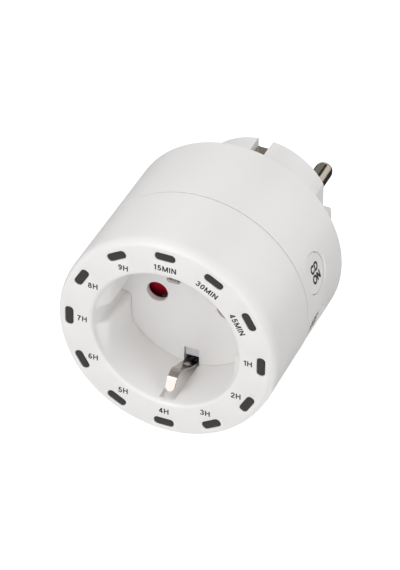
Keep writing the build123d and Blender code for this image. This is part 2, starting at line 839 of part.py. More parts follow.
# ------------------------------------------------------------------ main board
tower_edge_x = pin_spacing / 2 + tower_room_across / 2 + tower_wall
tower_edge_z = tower_room_up / 2 + tower_wall
strip_notch_inner = clip_foot - 1.0
with BuildPart() as main_board:
    with BuildSketch(station(board_front_y)):
        Circle(board_radius)
        with PolarLocations(screw_circle_radius, screw_count, screw_angle):
            Circle(tube_radius + board_gap, mode=Mode.SUBTRACT)
        Rectangle(
            2 * (tower_edge_x + board_gap),
            2 * (tower_edge_z + board_gap),
            mode=Mode.SUBTRACT,
        )
        with Locations((-link_distance, 0), (link_distance, 0)):
            Rectangle(
                link_thickness + board_gap, link_width + board_gap, mode=Mode.SUBTRACT
            )
        notch_length = board_radius - strip_notch_inner
        notch_centre = strip_notch_inner + notch_length / 2
        with Locations((0, notch_centre), (0, -notch_centre)):
            Rectangle(strip_width + 2 * board_gap, notch_length, mode=Mode.SUBTRACT)
        for clock in button_clocks:
            outward = radial_plane(clock, board_radius).z_dir
            edge = (board_radius * outward.X, board_radius * outward.Z)
            with Locations(Location(edge, 90 - clock)):
                Rectangle(
                    2 * (board_radius - pocket_floor + board_gap),
                    2 * (button_flange_radius + board_gap),
                    mode=Mode.SUBTRACT,
                )
    extrude(amount=-board_thickness)
save(main_board.part, "main_board")


def board_block(x, z, across, up, height):
    """A square-cornered component that stands on the back of the main board."""
    with BuildSketch(station(board_back_y)) as footprint:
        with Locations((x, z)):
            Rectangle(across, up)
    extrude(footprint.sketch, amount=-height)


def board_can(x, z, radius, height):
    """A round component that stands on the back of the main board."""
    with BuildSketch(station(board_back_y)) as footprint:
        with Locations((x, z)):
            Circle(radius)
    extrude(footprint.sketch, amount=-height)


component_room = rear_inner_y - board_back_y
row_z = tower_edge_z + component_gap  # nearest row of components to the contact towers
relay_height = component_room - relay_clearance
relay_z = busbar_height + link_thickness + relay_up / 2
with BuildPart() as relay:
    board_block(0, relay_z, relay_across, relay_up, relay_height)
    fillet(relay.edges().filter_by(Axis.Y), radius=component_edge)
    chamfer(relay.faces().sort_by(Axis.Y)[-1].edges(), length=component_edge)
save(relay.part, "relay")

with BuildPart() as film_capacitor:
    film_x = pin_xs[0] + 2 * board_gap + component_gap
    board_block(film_x, -row_z - film_up / 2, film_across, film_up, film_height)
    fillet(film_capacitor.edges().filter_by(Axis.Y), radius=component_edge)
save(film_capacitor.part, "film_capacitor")

with BuildPart() as electrolytic_capacitor:
    electrolytic_height = component_room - electrolytic_clearance
    board_can(pin_xs[1], -row_z - electrolytic_radius, electrolytic_radius, electrolytic_height)
    chamfer(electrolytic_capacitor.edges().filter_by(GeomType.CIRCLE), component_edge)
save(electrolytic_capacitor.part, "electrolytic_capacitor")

second_row_z = row_z + film_up + component_gap / 2
with BuildPart() as rectifier:
    rectifier_z = -second_row_z - rectifier_up / 2
    board_block(0, rectifier_z, rectifier_across, rectifier_up, rectifier_height)
save(rectifier.part, "rectifier")

with BuildPart() as microcontroller:
    board_block(pin_xs[0], -second_row_z - micro_up / 2, micro_across, micro_up, micro_height)
save(microcontroller.part, "microcontroller")

with BuildPart() as fuse:
    board_can(-tower_edge_x - board_gap - fuse_radius, fuse_rise, fuse_radius, fuse_height)
    chamfer(fuse.faces().sort_by(Axis.Y)[-1].edges(), length=component_edge)
save(fuse.part, "fuse")

with BuildPart() as varistor:
    disc_centre = Vector(
        -tower_edge_x - 2 * component_gap - varistor_thickness,
        board_back_y + varistor_radius,
        -varistor_drop,
    )
    with BuildSketch(Plane(origin=disc_centre, x_dir=(0, 1, 0), z_dir=(1, 0, 0))):
        Circle(varistor_radius)
    extrude(amount=varistor_thickness)
    chamfer(varistor.edges().filter_by(GeomType.CIRCLE), length=component_edge)
save(varistor.part, "varistor")

resistor_circle = board_radius - 2 * component_gap - board_gap
with BuildPart() as resistors:
    with BuildSketch(station(board_back_y)):
        for clock in resistor_clocks:
            place = (resistor_circle * sin(radians(clock)), resistor_circle * cos(radians(clock)))
            with Locations(Location(place, -clock)):
                Rectangle(resistor_length, resistor_width)
    extrude(amount=-resistor_height)
save(resistors.part, "resistors")

# ------------------------------------------------------------------ buttons and tact switches
stem_length = 2.0
stem_end = flange_top - button_flange_thickness - stem_length
plunger_tip = stem_end - slide_gap
tact_face = plunger_tip - tact_plunger_reach
plunger_hidden = 0.9
for clock, button_name, place in (
    (button_clocks[0], "on_button", "upper"),
    (button_clocks[1], "off_button", "lower"),
):
    with BuildPart() as button:
        with BuildSketch(radial_plane(clock, flange_top)):
            Circle(button_radius)
        extrude(amount=button_thickness)
        fillet(
            button.edges().filter_by_position(
                Axis(radial_plane(clock, 0).origin, radial_plane(clock, 0).z_dir),
                button_top_distance - slide_gap,
                button_top_distance + slide_gap,
            ),
            radius=button_edge_radius,
        )
        with BuildSketch(radial_plane(clock, flange_top)):
            Circle(button_flange_radius)
        extrude(amount=-button_flange_thickness)
        with BuildSketch(radial_plane(clock, stem_end)):
            Circle(button_stem_radius)
        extrude(amount=stem_length)
    save(button.part, button_name)

    with BuildPart() as tact_plunger:
        with BuildSketch(radial_plane(clock, plunger_tip)):
            Circle(tact_plunger_radius)
        extrude(amount=-tact_plunger_reach - plunger_hidden)
    save(tact_plunger.part, "tact_plunger_" + place)

    with BuildPart() as tact_switch:
        with BuildSketch(radial_plane(clock, tact_face)):
            Rectangle(tact_size, tact_size)
            Circle(tact_plunger_radius + slide_gap, mode=Mode.SUBTRACT)
        extrude(amount=-plunger_hidden - 2 * button_travel)
        with BuildSketch(radial_plane(clock, tact_face - tact_depth)):
            Rectangle(tact_size, tact_size)
        extrude(amount=tact_depth - plunger_hidden - 2 * button_travel)
    save(tact_switch.part, "tact_switch_" + place)

# ------------------------------------------------------------------ screws
screw_slot_width = 0.6
with BuildPart() as housing_screws:
    head_y = seam_y + boss_seat
    with BuildSketch(station(head_y)):
        with PolarLocations(screw_circle_radius, screw_count, screw_angle):
            Circle(screw_head_radius)
    extrude(amount=-screw_head_height)
    with BuildSketch(station(head_y + screw_head_height)):
        with PolarLocations(screw_circle_radius, screw_count, screw_angle):
            Rectangle(screw_slot_width, 1.4 * screw_head_radius)
            Rectangle(1.4 * screw_head_radius, screw_slot_width)
    extrude(amount=screw_head_height / 2, mode=Mode.SUBTRACT)
    with BuildSketch(station(head_y)):
        with PolarLocations(screw_circle_radius, screw_count, screw_angle):
            Circle(screw_shank_radius)
    extrude(amount=boss_seat + screw_grip)
save(housing_screws.part, "housing_screws")

retainer_head_height = 1.2
with BuildPart() as retainer_screws:
    with BuildSketch(station(retainer_y)):
        with Locations(*retainer_screws_at):
            Circle(1.8 * retainer_screw_radius)
    extrude(amount=retainer_head_height)
    with BuildSketch(station(retainer_y)):
        with Locations(*retainer_screws_at):
            Circle(retainer_screw_radius)
    extrude(amount=-retainer_thickness - pin_flange_thickness)
save(retainer_screws.part, "retainer_screws")
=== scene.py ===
"""Looks for a round plug-in countdown timer switch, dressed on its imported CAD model.

Lengths are in millimetres and become metres where a mesh is made. The axis is Y: the socket
looks along -Y, the plug pins point along +Y, X is to the right seen from the socket side and
Z is up. Outlines lie in planes square to the axis, as arrays of (x, z).
"""

from __future__ import annotations

import json
import logging
import math
from dataclasses import dataclass, field, replace
from enum import Enum
from functools import partial
from pathlib import Path
from typing import Callable, Iterable, Sequence

import bmesh
import bpy
import numpy as np
from mathutils import Matrix, Vector
from mathutils.geometry import delaunay_2d_cdt
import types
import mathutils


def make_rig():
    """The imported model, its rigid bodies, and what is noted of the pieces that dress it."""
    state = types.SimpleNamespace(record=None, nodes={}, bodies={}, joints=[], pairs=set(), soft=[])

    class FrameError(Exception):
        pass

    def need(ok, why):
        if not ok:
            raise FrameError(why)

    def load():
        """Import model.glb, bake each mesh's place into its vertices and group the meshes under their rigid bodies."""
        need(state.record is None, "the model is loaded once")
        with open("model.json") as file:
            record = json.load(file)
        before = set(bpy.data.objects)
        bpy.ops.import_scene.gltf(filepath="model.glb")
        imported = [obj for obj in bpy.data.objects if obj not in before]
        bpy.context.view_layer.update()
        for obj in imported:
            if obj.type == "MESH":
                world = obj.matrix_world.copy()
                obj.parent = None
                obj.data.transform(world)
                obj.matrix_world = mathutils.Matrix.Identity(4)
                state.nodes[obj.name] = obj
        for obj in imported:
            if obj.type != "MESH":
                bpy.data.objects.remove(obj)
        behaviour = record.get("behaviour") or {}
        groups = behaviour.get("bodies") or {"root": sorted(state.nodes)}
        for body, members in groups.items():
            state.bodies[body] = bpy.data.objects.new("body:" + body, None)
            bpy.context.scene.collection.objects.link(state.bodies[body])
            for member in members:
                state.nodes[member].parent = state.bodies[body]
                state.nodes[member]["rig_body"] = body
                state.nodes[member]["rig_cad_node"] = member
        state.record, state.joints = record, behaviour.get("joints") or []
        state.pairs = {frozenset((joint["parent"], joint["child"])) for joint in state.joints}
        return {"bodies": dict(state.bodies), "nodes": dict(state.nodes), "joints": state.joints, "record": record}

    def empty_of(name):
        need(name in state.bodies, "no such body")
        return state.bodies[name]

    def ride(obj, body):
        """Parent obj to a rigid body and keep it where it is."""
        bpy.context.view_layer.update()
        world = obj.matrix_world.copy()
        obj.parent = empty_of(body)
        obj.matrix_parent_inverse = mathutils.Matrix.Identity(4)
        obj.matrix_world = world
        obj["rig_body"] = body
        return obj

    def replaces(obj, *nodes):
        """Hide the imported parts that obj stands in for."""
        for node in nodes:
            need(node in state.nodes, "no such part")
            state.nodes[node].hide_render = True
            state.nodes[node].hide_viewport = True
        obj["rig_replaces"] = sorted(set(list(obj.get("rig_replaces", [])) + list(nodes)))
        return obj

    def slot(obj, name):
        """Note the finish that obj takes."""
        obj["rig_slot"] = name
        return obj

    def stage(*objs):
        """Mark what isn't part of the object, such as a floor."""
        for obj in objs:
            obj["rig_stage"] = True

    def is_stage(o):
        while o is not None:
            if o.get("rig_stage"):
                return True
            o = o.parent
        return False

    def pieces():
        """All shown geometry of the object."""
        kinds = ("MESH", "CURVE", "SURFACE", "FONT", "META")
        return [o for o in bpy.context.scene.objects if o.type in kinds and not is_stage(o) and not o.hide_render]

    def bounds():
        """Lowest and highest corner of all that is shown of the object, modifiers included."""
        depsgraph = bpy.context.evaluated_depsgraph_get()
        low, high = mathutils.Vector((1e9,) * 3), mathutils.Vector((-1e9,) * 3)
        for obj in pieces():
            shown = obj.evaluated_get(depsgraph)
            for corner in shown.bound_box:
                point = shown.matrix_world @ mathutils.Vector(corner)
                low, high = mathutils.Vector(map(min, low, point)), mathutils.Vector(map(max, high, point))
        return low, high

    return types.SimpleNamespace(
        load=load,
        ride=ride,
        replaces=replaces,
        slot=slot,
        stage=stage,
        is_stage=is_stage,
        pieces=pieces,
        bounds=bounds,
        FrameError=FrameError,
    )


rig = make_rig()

LOG = logging.getLogger("timer_switch")
MM = 0.001
PIN_DISTANCE = 9.5  # of each pin and pin hole from the axis
Array = np.ndarray
Rule = Callable[[Array], Array]  # gives places of points, or directions at face centres
Triple = tuple[float, float, float]
Pairs = tuple[tuple[float, float], ...]


# ------------------------------------------------------------------------------ sizes
@dataclass(frozen=True)
class Housing:
    """Outside of the two shells, in millimetres, with stations along the axis."""

    front: float = -65.0
    side_start: float = -59.0
    seam: float = -42.1
    shoulder: float = -18.5
    radius: float = 29.05
    draft: float = 0.4
    round_across: float = 1.3
    round_along: float = 3.6
    rear_round: float = 0.5
    seam_chamfer: float = 0.12
    seam_gap: float = 0.12
    seam_depth: float = 1.5
    # How far in from the surface the ring of painted shadow in the joint lies.
    painted_seam_shadow_depth: float = 0.06
    seam_root: float = 1.0
    face_inset: float = 0.012
    screw_circle: float = 25.3
    screw_radius: float = 1.95
    screw_depth: float = 21.0

    def radius_at(self, y: float | Array) -> float | Array:
        """Return the drafted outer radius at a station along the axis."""
        return self.radius - self.draft * (y - self.front) / (self.shoulder - self.front)

    @property
    def face(self) -> float:
        """Return the station of the front face, just behind the print on it."""
        return self.front + self.face_inset


@dataclass(frozen=True)
class Recess:
    """The socket recess, in millimetres."""

    radius: float = 19.55
    depth: float = 17.5
    lip: float = 1.0
    rail_flat: float = 16.5
    rail_groove: float = 2.4
    rail_root_round: float = 1.1
    rail_edge_round: float = 1.3
    rail_blend: float = 0.7
    rail_blend_turn: float = 0.22
    rail_rise: Pairs = (
        (2.0, 0.0),
        (2.3, 0.07),
        (2.7, 0.2),
        (3.2, 0.39),
        (3.8, 0.61),
        (4.4, 0.79),
        (5.1, 0.93),
        (5.8, 1.0),
    )
    earth_half_width: float = 2.1
    earth_radius: float = 20.6
    earth_start: float = 1.8
    floor_gap: float = 0.05
    floor_edge: float = 0.03
    floor_thickness: float = 1.6
    behind_floor: float = 5.8
    pin_hole: float = 2.85
    pin_hole_edge: float = 0.22
    clip_slot_half_width: float = 2.05
    clip_slot_inner: float = 14.9
    key_half_width: float = 1.93
    key_reach: tuple[float, float] = (15.02, 17.75)
    key_depths: tuple[float, float] = (18.15, 23.5)
    key_edge: float = 0.12
    key_corner: float = 0.2


@dataclass(frozen=True)
class Shutter:
    """The low edges of the shutter's wings, in millimetres and degrees."""

    hub: float = 3.8
    reach: float = 13.6
    start: float = 19.2
    end: float = 21.3
    front: float = -43.4
    back: float = -42.4


@dataclass(frozen=True)
class Clip:
    """A sprung earth clip, as depths from the front face and distances from the axis.

    The grid is that of the points inside the flat strip, which the bends and the rib need.
    """

    thickness: float = 0.5
    path: Pairs = (
        (3.3, 18.25),
        (5.25, 15.5),
        (7.6, 14.55),
        (13.6, 17.75),
        (17.8, 19.35),
        (27.0, 19.35),
    )
    bends: tuple[float, ...] = (1.0, 2.5, 4.5, 4.5)
    half_widths: Pairs = (
        (3.3, 1.25),
        (6.0, 1.25),
        (11.5, 1.4),
        (13.0, 1.8),
        (27.0, 1.8),
    )
    eye_depth: float = 13.0
    eye_half_width: float = 0.7
    eye_half_length: float = 0.45
    rib_depths: tuple[float, float] = (14.0, 19.6)
    rib_half_width: float = 0.75
    rib_rise: float = 0.35
    rib_edge: float = 0.45
    hinge: tuple[float, float] = (24.0, 19.35)
    upper_lean: float = 4.0
    grid_half_width: float = 1.7
    grid_step: float = 0.3
    grid_end: float = 0.1
    grid_inside: float = 0.93
    grid_round_eye: float = 1.2


@dataclass(frozen=True)
class Nose:
    """The plug's nose and pins, in millimetres."""

    radius: float = 18.65
    draft: float = 0.15
    edge: float = 0.5
    flat: float = 16.0
    flat_half_height: float = 9.2
    ridge_half_width: float = 2.2
    slot_half_width: float = 2.05
    slot_floor: float = 15.15
    pin_radius: float = 2.4
    collar_radius: float = 2.6
    collar_gap: float = 0.05
    collar_back: float = 2.0
    pin_foot: Pairs = ((0.02, 0.0), (0.0, 0.05), (0.0, 6.0))
    pin_reach: float = 19.0


@dataclass(frozen=True)
class Windows:
    """The ring of light windows and their labels, in millimetres.

    The crown gives each window's rings as how far inside its outline and how deep they are.
    """

    circle: float = 25.6
    across: float = 2.25
    along: float = 5.4
    corner: float = 1.0
    gap: float = 0.06
    opening_edge: float = 0.12
    opening_bend: tuple[float, float] = (0.7, 0.3)
    opening_depth: float = 1.9
    crown: Pairs = (
        (0.0, 2.0),
        (0.0, 0.24),
        (0.05, 0.13),
        (0.14, 0.06),
        (0.3, 0.02),
        (0.5, 0.012),
    )
    print_rise: float = 0.002
    label_height: float = 1.6
    label_spacing: float = 0.19
    label_circle: float = 22.15
    labels: tuple[tuple[float, str], ...] = (
        (0, "15MIN"),
        (30, "30MIN"),
        (60, "45MIN"),
        (90, "1H"),
        (120, "2H"),
        (150, "3H"),
        (180, "4H"),
        (210, "5H"),
        (240, "6H"),
        (270, "7H"),
        (300, "8H"),
        (330, "9H"),
    )


@dataclass(frozen=True)
class Buttons:
    """The two push buttons, in millimetres and degrees clockwise from 12 o'clock."""

    upper: float = 74.0
    lower: float = 106.0
    station: float = -34.2
    radius: float = 5.3
    hole_radius: float = 5.45
    hole_edge: float = 0.2
    top: float = 28.2
    flange_top: float = 25.65
    flange: float = 6.0
    flange_gap: float = 0.02
    edge: float = 0.35
    print_rise: float = 0.004
    word_height: float = 2.3
    word_spacing: float = 0.1
    line_offset: float = 1.4
    print_shift: tuple[float, float] = (0.6, -0.2)


# ------------------------------------------------------------------------------ outlines
def arc(radius: float, start: float, end: float, count: int) -> Array:
    """Points on a circle about the axis.

    Args:
        radius: Circle radius.
        start: First angle in radians, from 3 o'clock towards 12 o'clock.
        end: Last angle in radians.
        count: Number of points, ends included.

    Returns:
        An array of (x, z) points.
    """
    angles = np.linspace(start, end, count)
    return np.column_stack([radius * np.cos(angles), radius * np.sin(angles)])


def circle(radius: float, count: int = 360, centre: Sequence[float] = (0.0, 0.0)) -> Array:
    """Return a closed circle that starts at 3 o'clock, without its last point."""
    return arc(radius, 0.0, 2 * np.pi, count + 1)[:-1] + np.asarray(centre)


def four_quarters(quarter: Array) -> Array:
    """Mirror an outline from 3 to 12 o'clock into a closed one.

    Args:
        quarter: Points from 3 o'clock to 12 o'clock, both ends on an axis.

    Returns:
        The closed outline, without its last point.
    """
    back = quarter[::-1]
    parts = [quarter, back * (-1, 1), quarter * (-1, -1), back * (1, -1)]
    return np.vstack([part[:-1] for part in parts])


def rounded_rectangle(across: float, along: float, corner: float, steps: int = 7) -> Array:
    """A closed rectangle about the origin with a quarter circle at each corner.

    Args:
        across: Size along the first axis.
        along: Size along the second axis.
        corner: Radius of the corners.
        steps: Number of points on a corner.

    Returns:
        The closed outline, without its last point.
    """
    parts = []
    for turn, (sx, sy) in enumerate([(1, 1), (-1, 1), (-1, -1), (1, -1)]):
        middle = np.array([sx * (across / 2 - corner), sy * (along / 2 - corner)])
        parts.append(arc(corner, turn * np.pi / 2, (turn + 1) * np.pi / 2, steps) + middle)
    return np.vstack(parts)


def clock_frame(clock: float) -> Array:
    """Return the axes (outward, clockwise) as rows, at a clock angle in degrees."""
    turn = math.radians(clock)
    return np.array([[math.sin(turn), math.cos(turn)], [math.cos(turn), -math.sin(turn)]])


def rail_quarter(recess: Recess, gap: float, end: float) -> Array:
    """Cross-section of the recess from 3 o'clock to an angle, guide rail included.

    The reach of the rail's flat and that of the round wall are joined by a soft minimum, and
    the rail's two corners are quarter circles.

    Args:
        recess: The recess sizes.
        gap: How much smaller the outline is all round.
        end: Last angle in radians.

    Returns:
        Points whose count doesn't depend on gap or end.
    """
    radius, flat, half = recess.radius - gap, recess.rail_flat - gap, recess.rail_groove - gap
    root, edge = recess.rail_root_round, recess.rail_edge_round
    wall_x = math.sqrt(radius**2 - half**2)
    bottom = arc(radius, 0.0, math.asin((half - root) / radius), 6)
    inner = (arc(root, 0.0, np.pi / 2, 6) + (wall_x - root, half - root))[1:]
    outer = arc(edge, -np.pi / 2, -np.pi, 8) + (flat + edge, half + edge)
    blend_end = math.acos(flat / radius) + recess.rail_blend_turn
    angles = np.linspace(math.atan2(half + edge, flat), blend_end, 22)[1:]
    lengths = np.stack([np.full(len(angles), radius), flat / np.cos(angles)])
    reach = -recess.rail_blend * np.log(np.exp(-lengths / recess.rail_blend).sum(axis=0))
    face = np.column_stack([reach * np.cos(angles), reach * np.sin(angles)])
    return np.vstack([bottom, inner, outer, face, arc(radius, blend_end, end, 46)[1:]])


def recess_outline(recess: Recess, share: float, groove: bool) -> Array:
    """Cross-section of the recess at one depth.

    Args:
        recess: The recess sizes.
        share: How far the guide rails have risen from the round wall, from 0 to 1.
        groove: Whether the earth grooves at 12 and 6 o'clock are open here.

    Returns:
        A closed outline whose points match those of every other depth.
    """
    railed = rail_quarter(recess, 0.0, math.acos(recess.earth_half_width / recess.radius))
    plain = railed * (recess.radius / np.linalg.norm(railed, axis=1))[:, None]
    slot_x = np.linspace(recess.earth_half_width, 0.0, 6)
    reach = np.full(6, recess.earth_radius) if groove else np.sqrt(recess.radius**2 - slot_x**2)
    slot = np.column_stack([slot_x, reach])
    return four_quarters(np.vstack([plain + (railed - plain) * share, slot]))


def nose_outline(nose: Nose, radius: float) -> Array:
    """Cross-section of the plug's nose: a circle with flat sides, ridges and earth slots.

    A flat's reach is its distance over the cosine of the angle, and the radius at most.

    Args:
        nose: The nose sizes.
        radius: Radius of the round part.

    Returns:
        A closed outline whose points match those of every other radius.
    """
    half = nose.ridge_half_width
    ridge = arc(radius, 0.0, math.asin(half / radius), 6)
    angles = np.linspace(
        math.atan2(half, nose.flat), math.atan2(nose.flat_half_height, nose.flat), 14
    )
    reach = np.minimum(radius, nose.flat / np.cos(angles))
    flat = np.column_stack([reach * np.cos(angles), reach * np.sin(angles)])
    wall_start = math.asin(nose.flat_half_height / radius)
    wall_end = math.acos(nose.slot_half_width / radius)
    wall = arc(radius, wall_start, wall_end, 44)
    slot_x = np.linspace(nose.slot_half_width, 0.0, 4)
    slot = np.column_stack([slot_x, np.full(4, nose.slot_floor)])
    return four_quarters(np.vstack([ridge, flat, wall, slot]))


# ------------------------------------------------------------------------------ mesh making
def at_station(outline: Array, y: float) -> Array:
    """Return (x, z) points as points in space at a station along the axis."""
    return np.column_stack([outline[:, 0], np.full(len(outline), y), outline[:, 1]])


def on_plane(y: float) -> Rule:
    """Return a placing rule for a flat area at a station along the axis."""
    return lambda points: at_station(points, y)


def out_at(points: Array, clock: float, station: float, distance: float | Array) -> Array:
    """Carry flat points to a plane that is square to a direction out from the axis.

    Args:
        points: Points as (along the rim, along the axis), from the plane's middle.
        clock: Clock angle of the direction.
        station: Station of the middle along the axis.
        distance: Distance of the plane from the axis, or of each point.

    Returns:
        Points in space.
    """
    outward, along = clock_frame(clock)
    places = outward * np.reshape(distance, (-1, 1)) + along * points[:, :1]
    return np.column_stack([places[:, 0], station + points[:, 1], places[:, 1]])


def inside(points: Array, loops: Iterable[Array]) -> Array:
    """Tell which points lie inside an odd number of closed loops.

    Args:
        points: Points in the plane.
        loops: Closed loops, each without its last point.

    Returns:
        One truth value per point.
    """
    crossings = np.zeros(len(points), int)
    for loop in loops:
        start, end = loop, np.roll(loop, -1, axis=0)
        x0, z0 = start[:, 0], start[:, 1]
        x1, z1 = end[:, 0], end[:, 1]
        px, pz = points[:, :1], points[:, 1:]
        spans = (z0 > pz) != (z1 > pz)
        rise = np.where(z1 == z0, 1.0, z1 - z0)
        crossings += (spans & (px < (x1 - x0) * (pz - z0) / rise + x0)).sum(axis=1)
    return crossings % 2 == 1


class Sheet:
    """A mesh under construction, patch by patch, in millimetres.

    Edges above the sharp angle stay sharp. Points within the weld length and edges below the
    sliver length, both in metres, are merged. Points of outlines within touch are one.
    """

    sharp = math.radians(32.0)
    weld = 2e-6
    sliver = 1e-6
    touch = 1e-7

    def __init__(self) -> None:
        """Start with no points."""
        self.points: list[Array] = []
        self.faces: list[list[int]] = []
        self.count = 0

    def _add(self, points: Array, faces: Array, facing: Rule) -> None:
        """Keep points and faces, turned so that most of their area faces as asked.

        Args:
            points: Points in space.
            faces: Rows of three or four point numbers.
            facing: Gives the side that the surface faces, from face centres.
        """
        corners = points[faces]
        normals = np.cross(corners[:, 1] - corners[:, 0], corners[:, 2] - corners[:, 0])
        if faces.shape[1] == 4:
            normals += np.cross(corners[:, 2] - corners[:, 0], corners[:, 3] - corners[:, 0])
        if (normals * facing(corners.mean(axis=1))).sum() < 0:
            faces = faces[:, ::-1]
        self.faces += (faces + self.count).tolist()
        self.points.append(points)
        self.count += len(points)

    def _join(self, rows: Sequence[Array], spans: int, facing: Rule) -> None:
        """Join matching rows of points with quadrilaterals.

        Args:
            rows: Rows of equally many points.
            spans: How many points of a row are joined to the next point, cyclically.
            facing: Gives the side that the surface faces, from face centres.
        """
        grid = np.stack(rows)
        count, columns = grid.shape[:2]
        row, column = np.meshgrid(np.arange(count - 1), np.arange(spans), indexing="ij")
        here, after = row * columns + column, row * columns + (column + 1) % columns
        faces = np.stack([here, after, after + columns, here + columns], axis=-1)
        self._add(grid.reshape(-1, 3), faces.reshape(-1, 4), facing)

    def loft(self, rings: Sequence[Array], facing: Rule) -> None:
        """Join matching closed rings of points, facing as the rule gives from face centres."""
        self._join(rings, len(rings[0]), facing)

    def strip(self, rows: Sequence[Array], facing: Rule) -> None:
        """Join matching open rows of points, facing as the rule gives from face centres."""
        self._join(rows, len(rows[0]) - 1, facing)

    def region(
        self,
        loops: Sequence[Array],
        place: Rule,
        facing: Rule,
        extra: Array | None = None,
    ) -> None:
        """Fill the area between closed loops.

        Args:
            loops: An outer loop and the loops of the holes in it.
            place: Carries points of the plane into space.
            facing: Gives the side that the surface faces, from face centres.
            extra: Further points inside the area, for a curved surface.
        """
        points, triangles = self._fill(loops, extra)
        centres = points[triangles].mean(axis=1)
        self._add(place(points), triangles[inside(centres, loops)], facing)

    def joined(self, groups: Sequence[Sequence[Array]], place: Rule, facing: Rule) -> None:
        """Fill everything that lies in any group of loops, as overlapping pen strokes do.

        Args:
            groups: Groups of loops, each an area of its own as in region.
            place: Carries points of the plane into space.
            facing: Gives the side that the surface faces, from face centres.
        """
        points, triangles = self._fill([loop for group in groups for loop in group], None)
        centres = points[triangles].mean(axis=1)
        covered = np.any([inside(centres, group) for group in groups], axis=0)
        self._add(place(points), triangles[covered], facing)

    @staticmethod
    def _fill(loops: Sequence[Array], extra: Array | None) -> tuple[Array, Array]:
        """Triangulate around closed loops and further points.

        Args:
            loops: Closed loops, each without its last point.
            extra: Further points, if any.

        Returns:
            The points, and rows of three point numbers.
        """
        edges: list[list[int]] = []
        start = 0
        for loop in loops:
            numbers = start + np.arange(len(loop))
            edges += np.column_stack([numbers, np.roll(numbers, -1)]).tolist()
            start += len(loop)
        flat = np.vstack([*loops] if extra is None else [*loops, extra])
        found = delaunay_2d_cdt(flat.tolist(), edges, [], 0, Sheet.touch)
        return np.array(found[0]), np.array(found[2])

    def build(self, name: str) -> bpy.types.Object:
        """Make the object, with its patches welded together.

        Args:
            name: Name of the object.

        Returns:
            The object, in the scene.
        """
        mesh = bpy.data.meshes.new(name)
        mesh.from_pydata((np.vstack(self.points) * MM).tolist(), [], self.faces)
        work = bmesh.new()
        work.from_mesh(mesh)
        bmesh.ops.remove_doubles(work, verts=work.verts, dist=self.weld)
        bmesh.ops.dissolve_degenerate(work, edges=work.edges, dist=self.sliver)
        work.to_mesh(mesh)
        work.free()
        mesh.polygons.foreach_set("use_smooth", [True] * len(mesh.polygons))
        mesh.set_sharp_from_angle(angle=self.sharp)
        piece = bpy.data.objects.new(name, mesh)
        bpy.context.collection.objects.link(piece)
        return piece


def towards(direction: Sequence[float]) -> Rule:
    """Return a facing rule for a surface that looks one way."""
    return lambda centres: np.broadcast_to(np.asarray(direction, float), centres.shape)


def from_point(point: Sequence[float]) -> Rule:
    """Return a facing rule for a surface that looks away from a point."""
    return lambda centres: centres - np.asarray(point, float)


def to_point(point: Sequence[float]) -> Rule:
    """Return a facing rule for a surface that looks at a point."""
    return lambda centres: np.asarray(point, float) - centres


FRONTWARDS = towards((0, -1, 0))
BACKWARDS = towards((0, 1, 0))


def lathe_rings(profile: Array, count: int = 360) -> list[Array]:
    """Return closed rings about the axis through a profile of (radius, y) points."""
    return [at_station(circle(radius, count), y) for radius, y in profile]


def quarter_round(start: Sequence[float], end: Sequence[float], bulge: Sequence[float]) -> Array:
    """A quarter of an ellipse in the profile plane.

    Args:
        start: First point, as (radius, y).
        end: Last point.
        bulge: The corner that the round replaces.

    Returns:
        Nine points from start to end.
    """
    first, last, corner = (np.asarray(point, float) for point in (start, end, bulge))
    centre = first + last - corner
    turns = np.linspace(0, np.pi / 2, 9)[:, None]
    return centre + (first - centre) * np.cos(turns) + (last - centre) * np.sin(turns)


# ------------------------------------------------------------------------------ materials
class Grain(Enum):
    """How the fine noise of a surface is scaled along each axis."""

    EVEN = (1.0, 1.0, 1.0)
    DRAWN = (1.0, 0.04, 1.0)


@dataclass(frozen=True)
class Finish:
    """Colour and surface of one material."""

    name: str
    colour: Triple
    roughness: float
    grain: Grain = Grain.EVEN
    metallic: float = 0.0
    coat: float = 0.0
    variation: float = 0.02
    relief: float = 0.05
    grain_size: float = 0.18
    specular: float = 0.5


@dataclass(frozen=True)
class Wire:
    """An output socket of a tree that does arithmetic by adding Math nodes."""

    tree: bpy.types.NodeTree
    socket: bpy.types.NodeSocket

    def _math(self, operation: str, *values: Wire | float) -> Wire:
        """Add a Math node.

        Args:
            operation: The node's operation.
            values: Its inputs.

        Returns:
            Its result.
        """
        node = self.tree.nodes.new("ShaderNodeMath")
        node.operation = operation
        for slot, value in zip(node.inputs, values):
            if isinstance(value, Wire):
                self.tree.links.new(value.socket, slot)
            else:
                slot.default_value = value
        return Wire(self.tree, node.outputs[0])

    def __add__(self, other: Wire | float) -> Wire:
        """Return the sum."""
        return self._math("ADD", self, other)

    __radd__ = __add__

    def __sub__(self, other: Wire | float) -> Wire:
        """Return the difference."""
        return self._math("SUBTRACT", self, other)

    def __mul__(self, other: Wire | float) -> Wire:
        """Return the product."""
        return self._math("MULTIPLY", self, other)

    def limited(self, low: float, high: float) -> Wire:
        """Return the value held between two limits."""
        return self._math("MINIMUM", self._math("MAXIMUM", self, low), high)


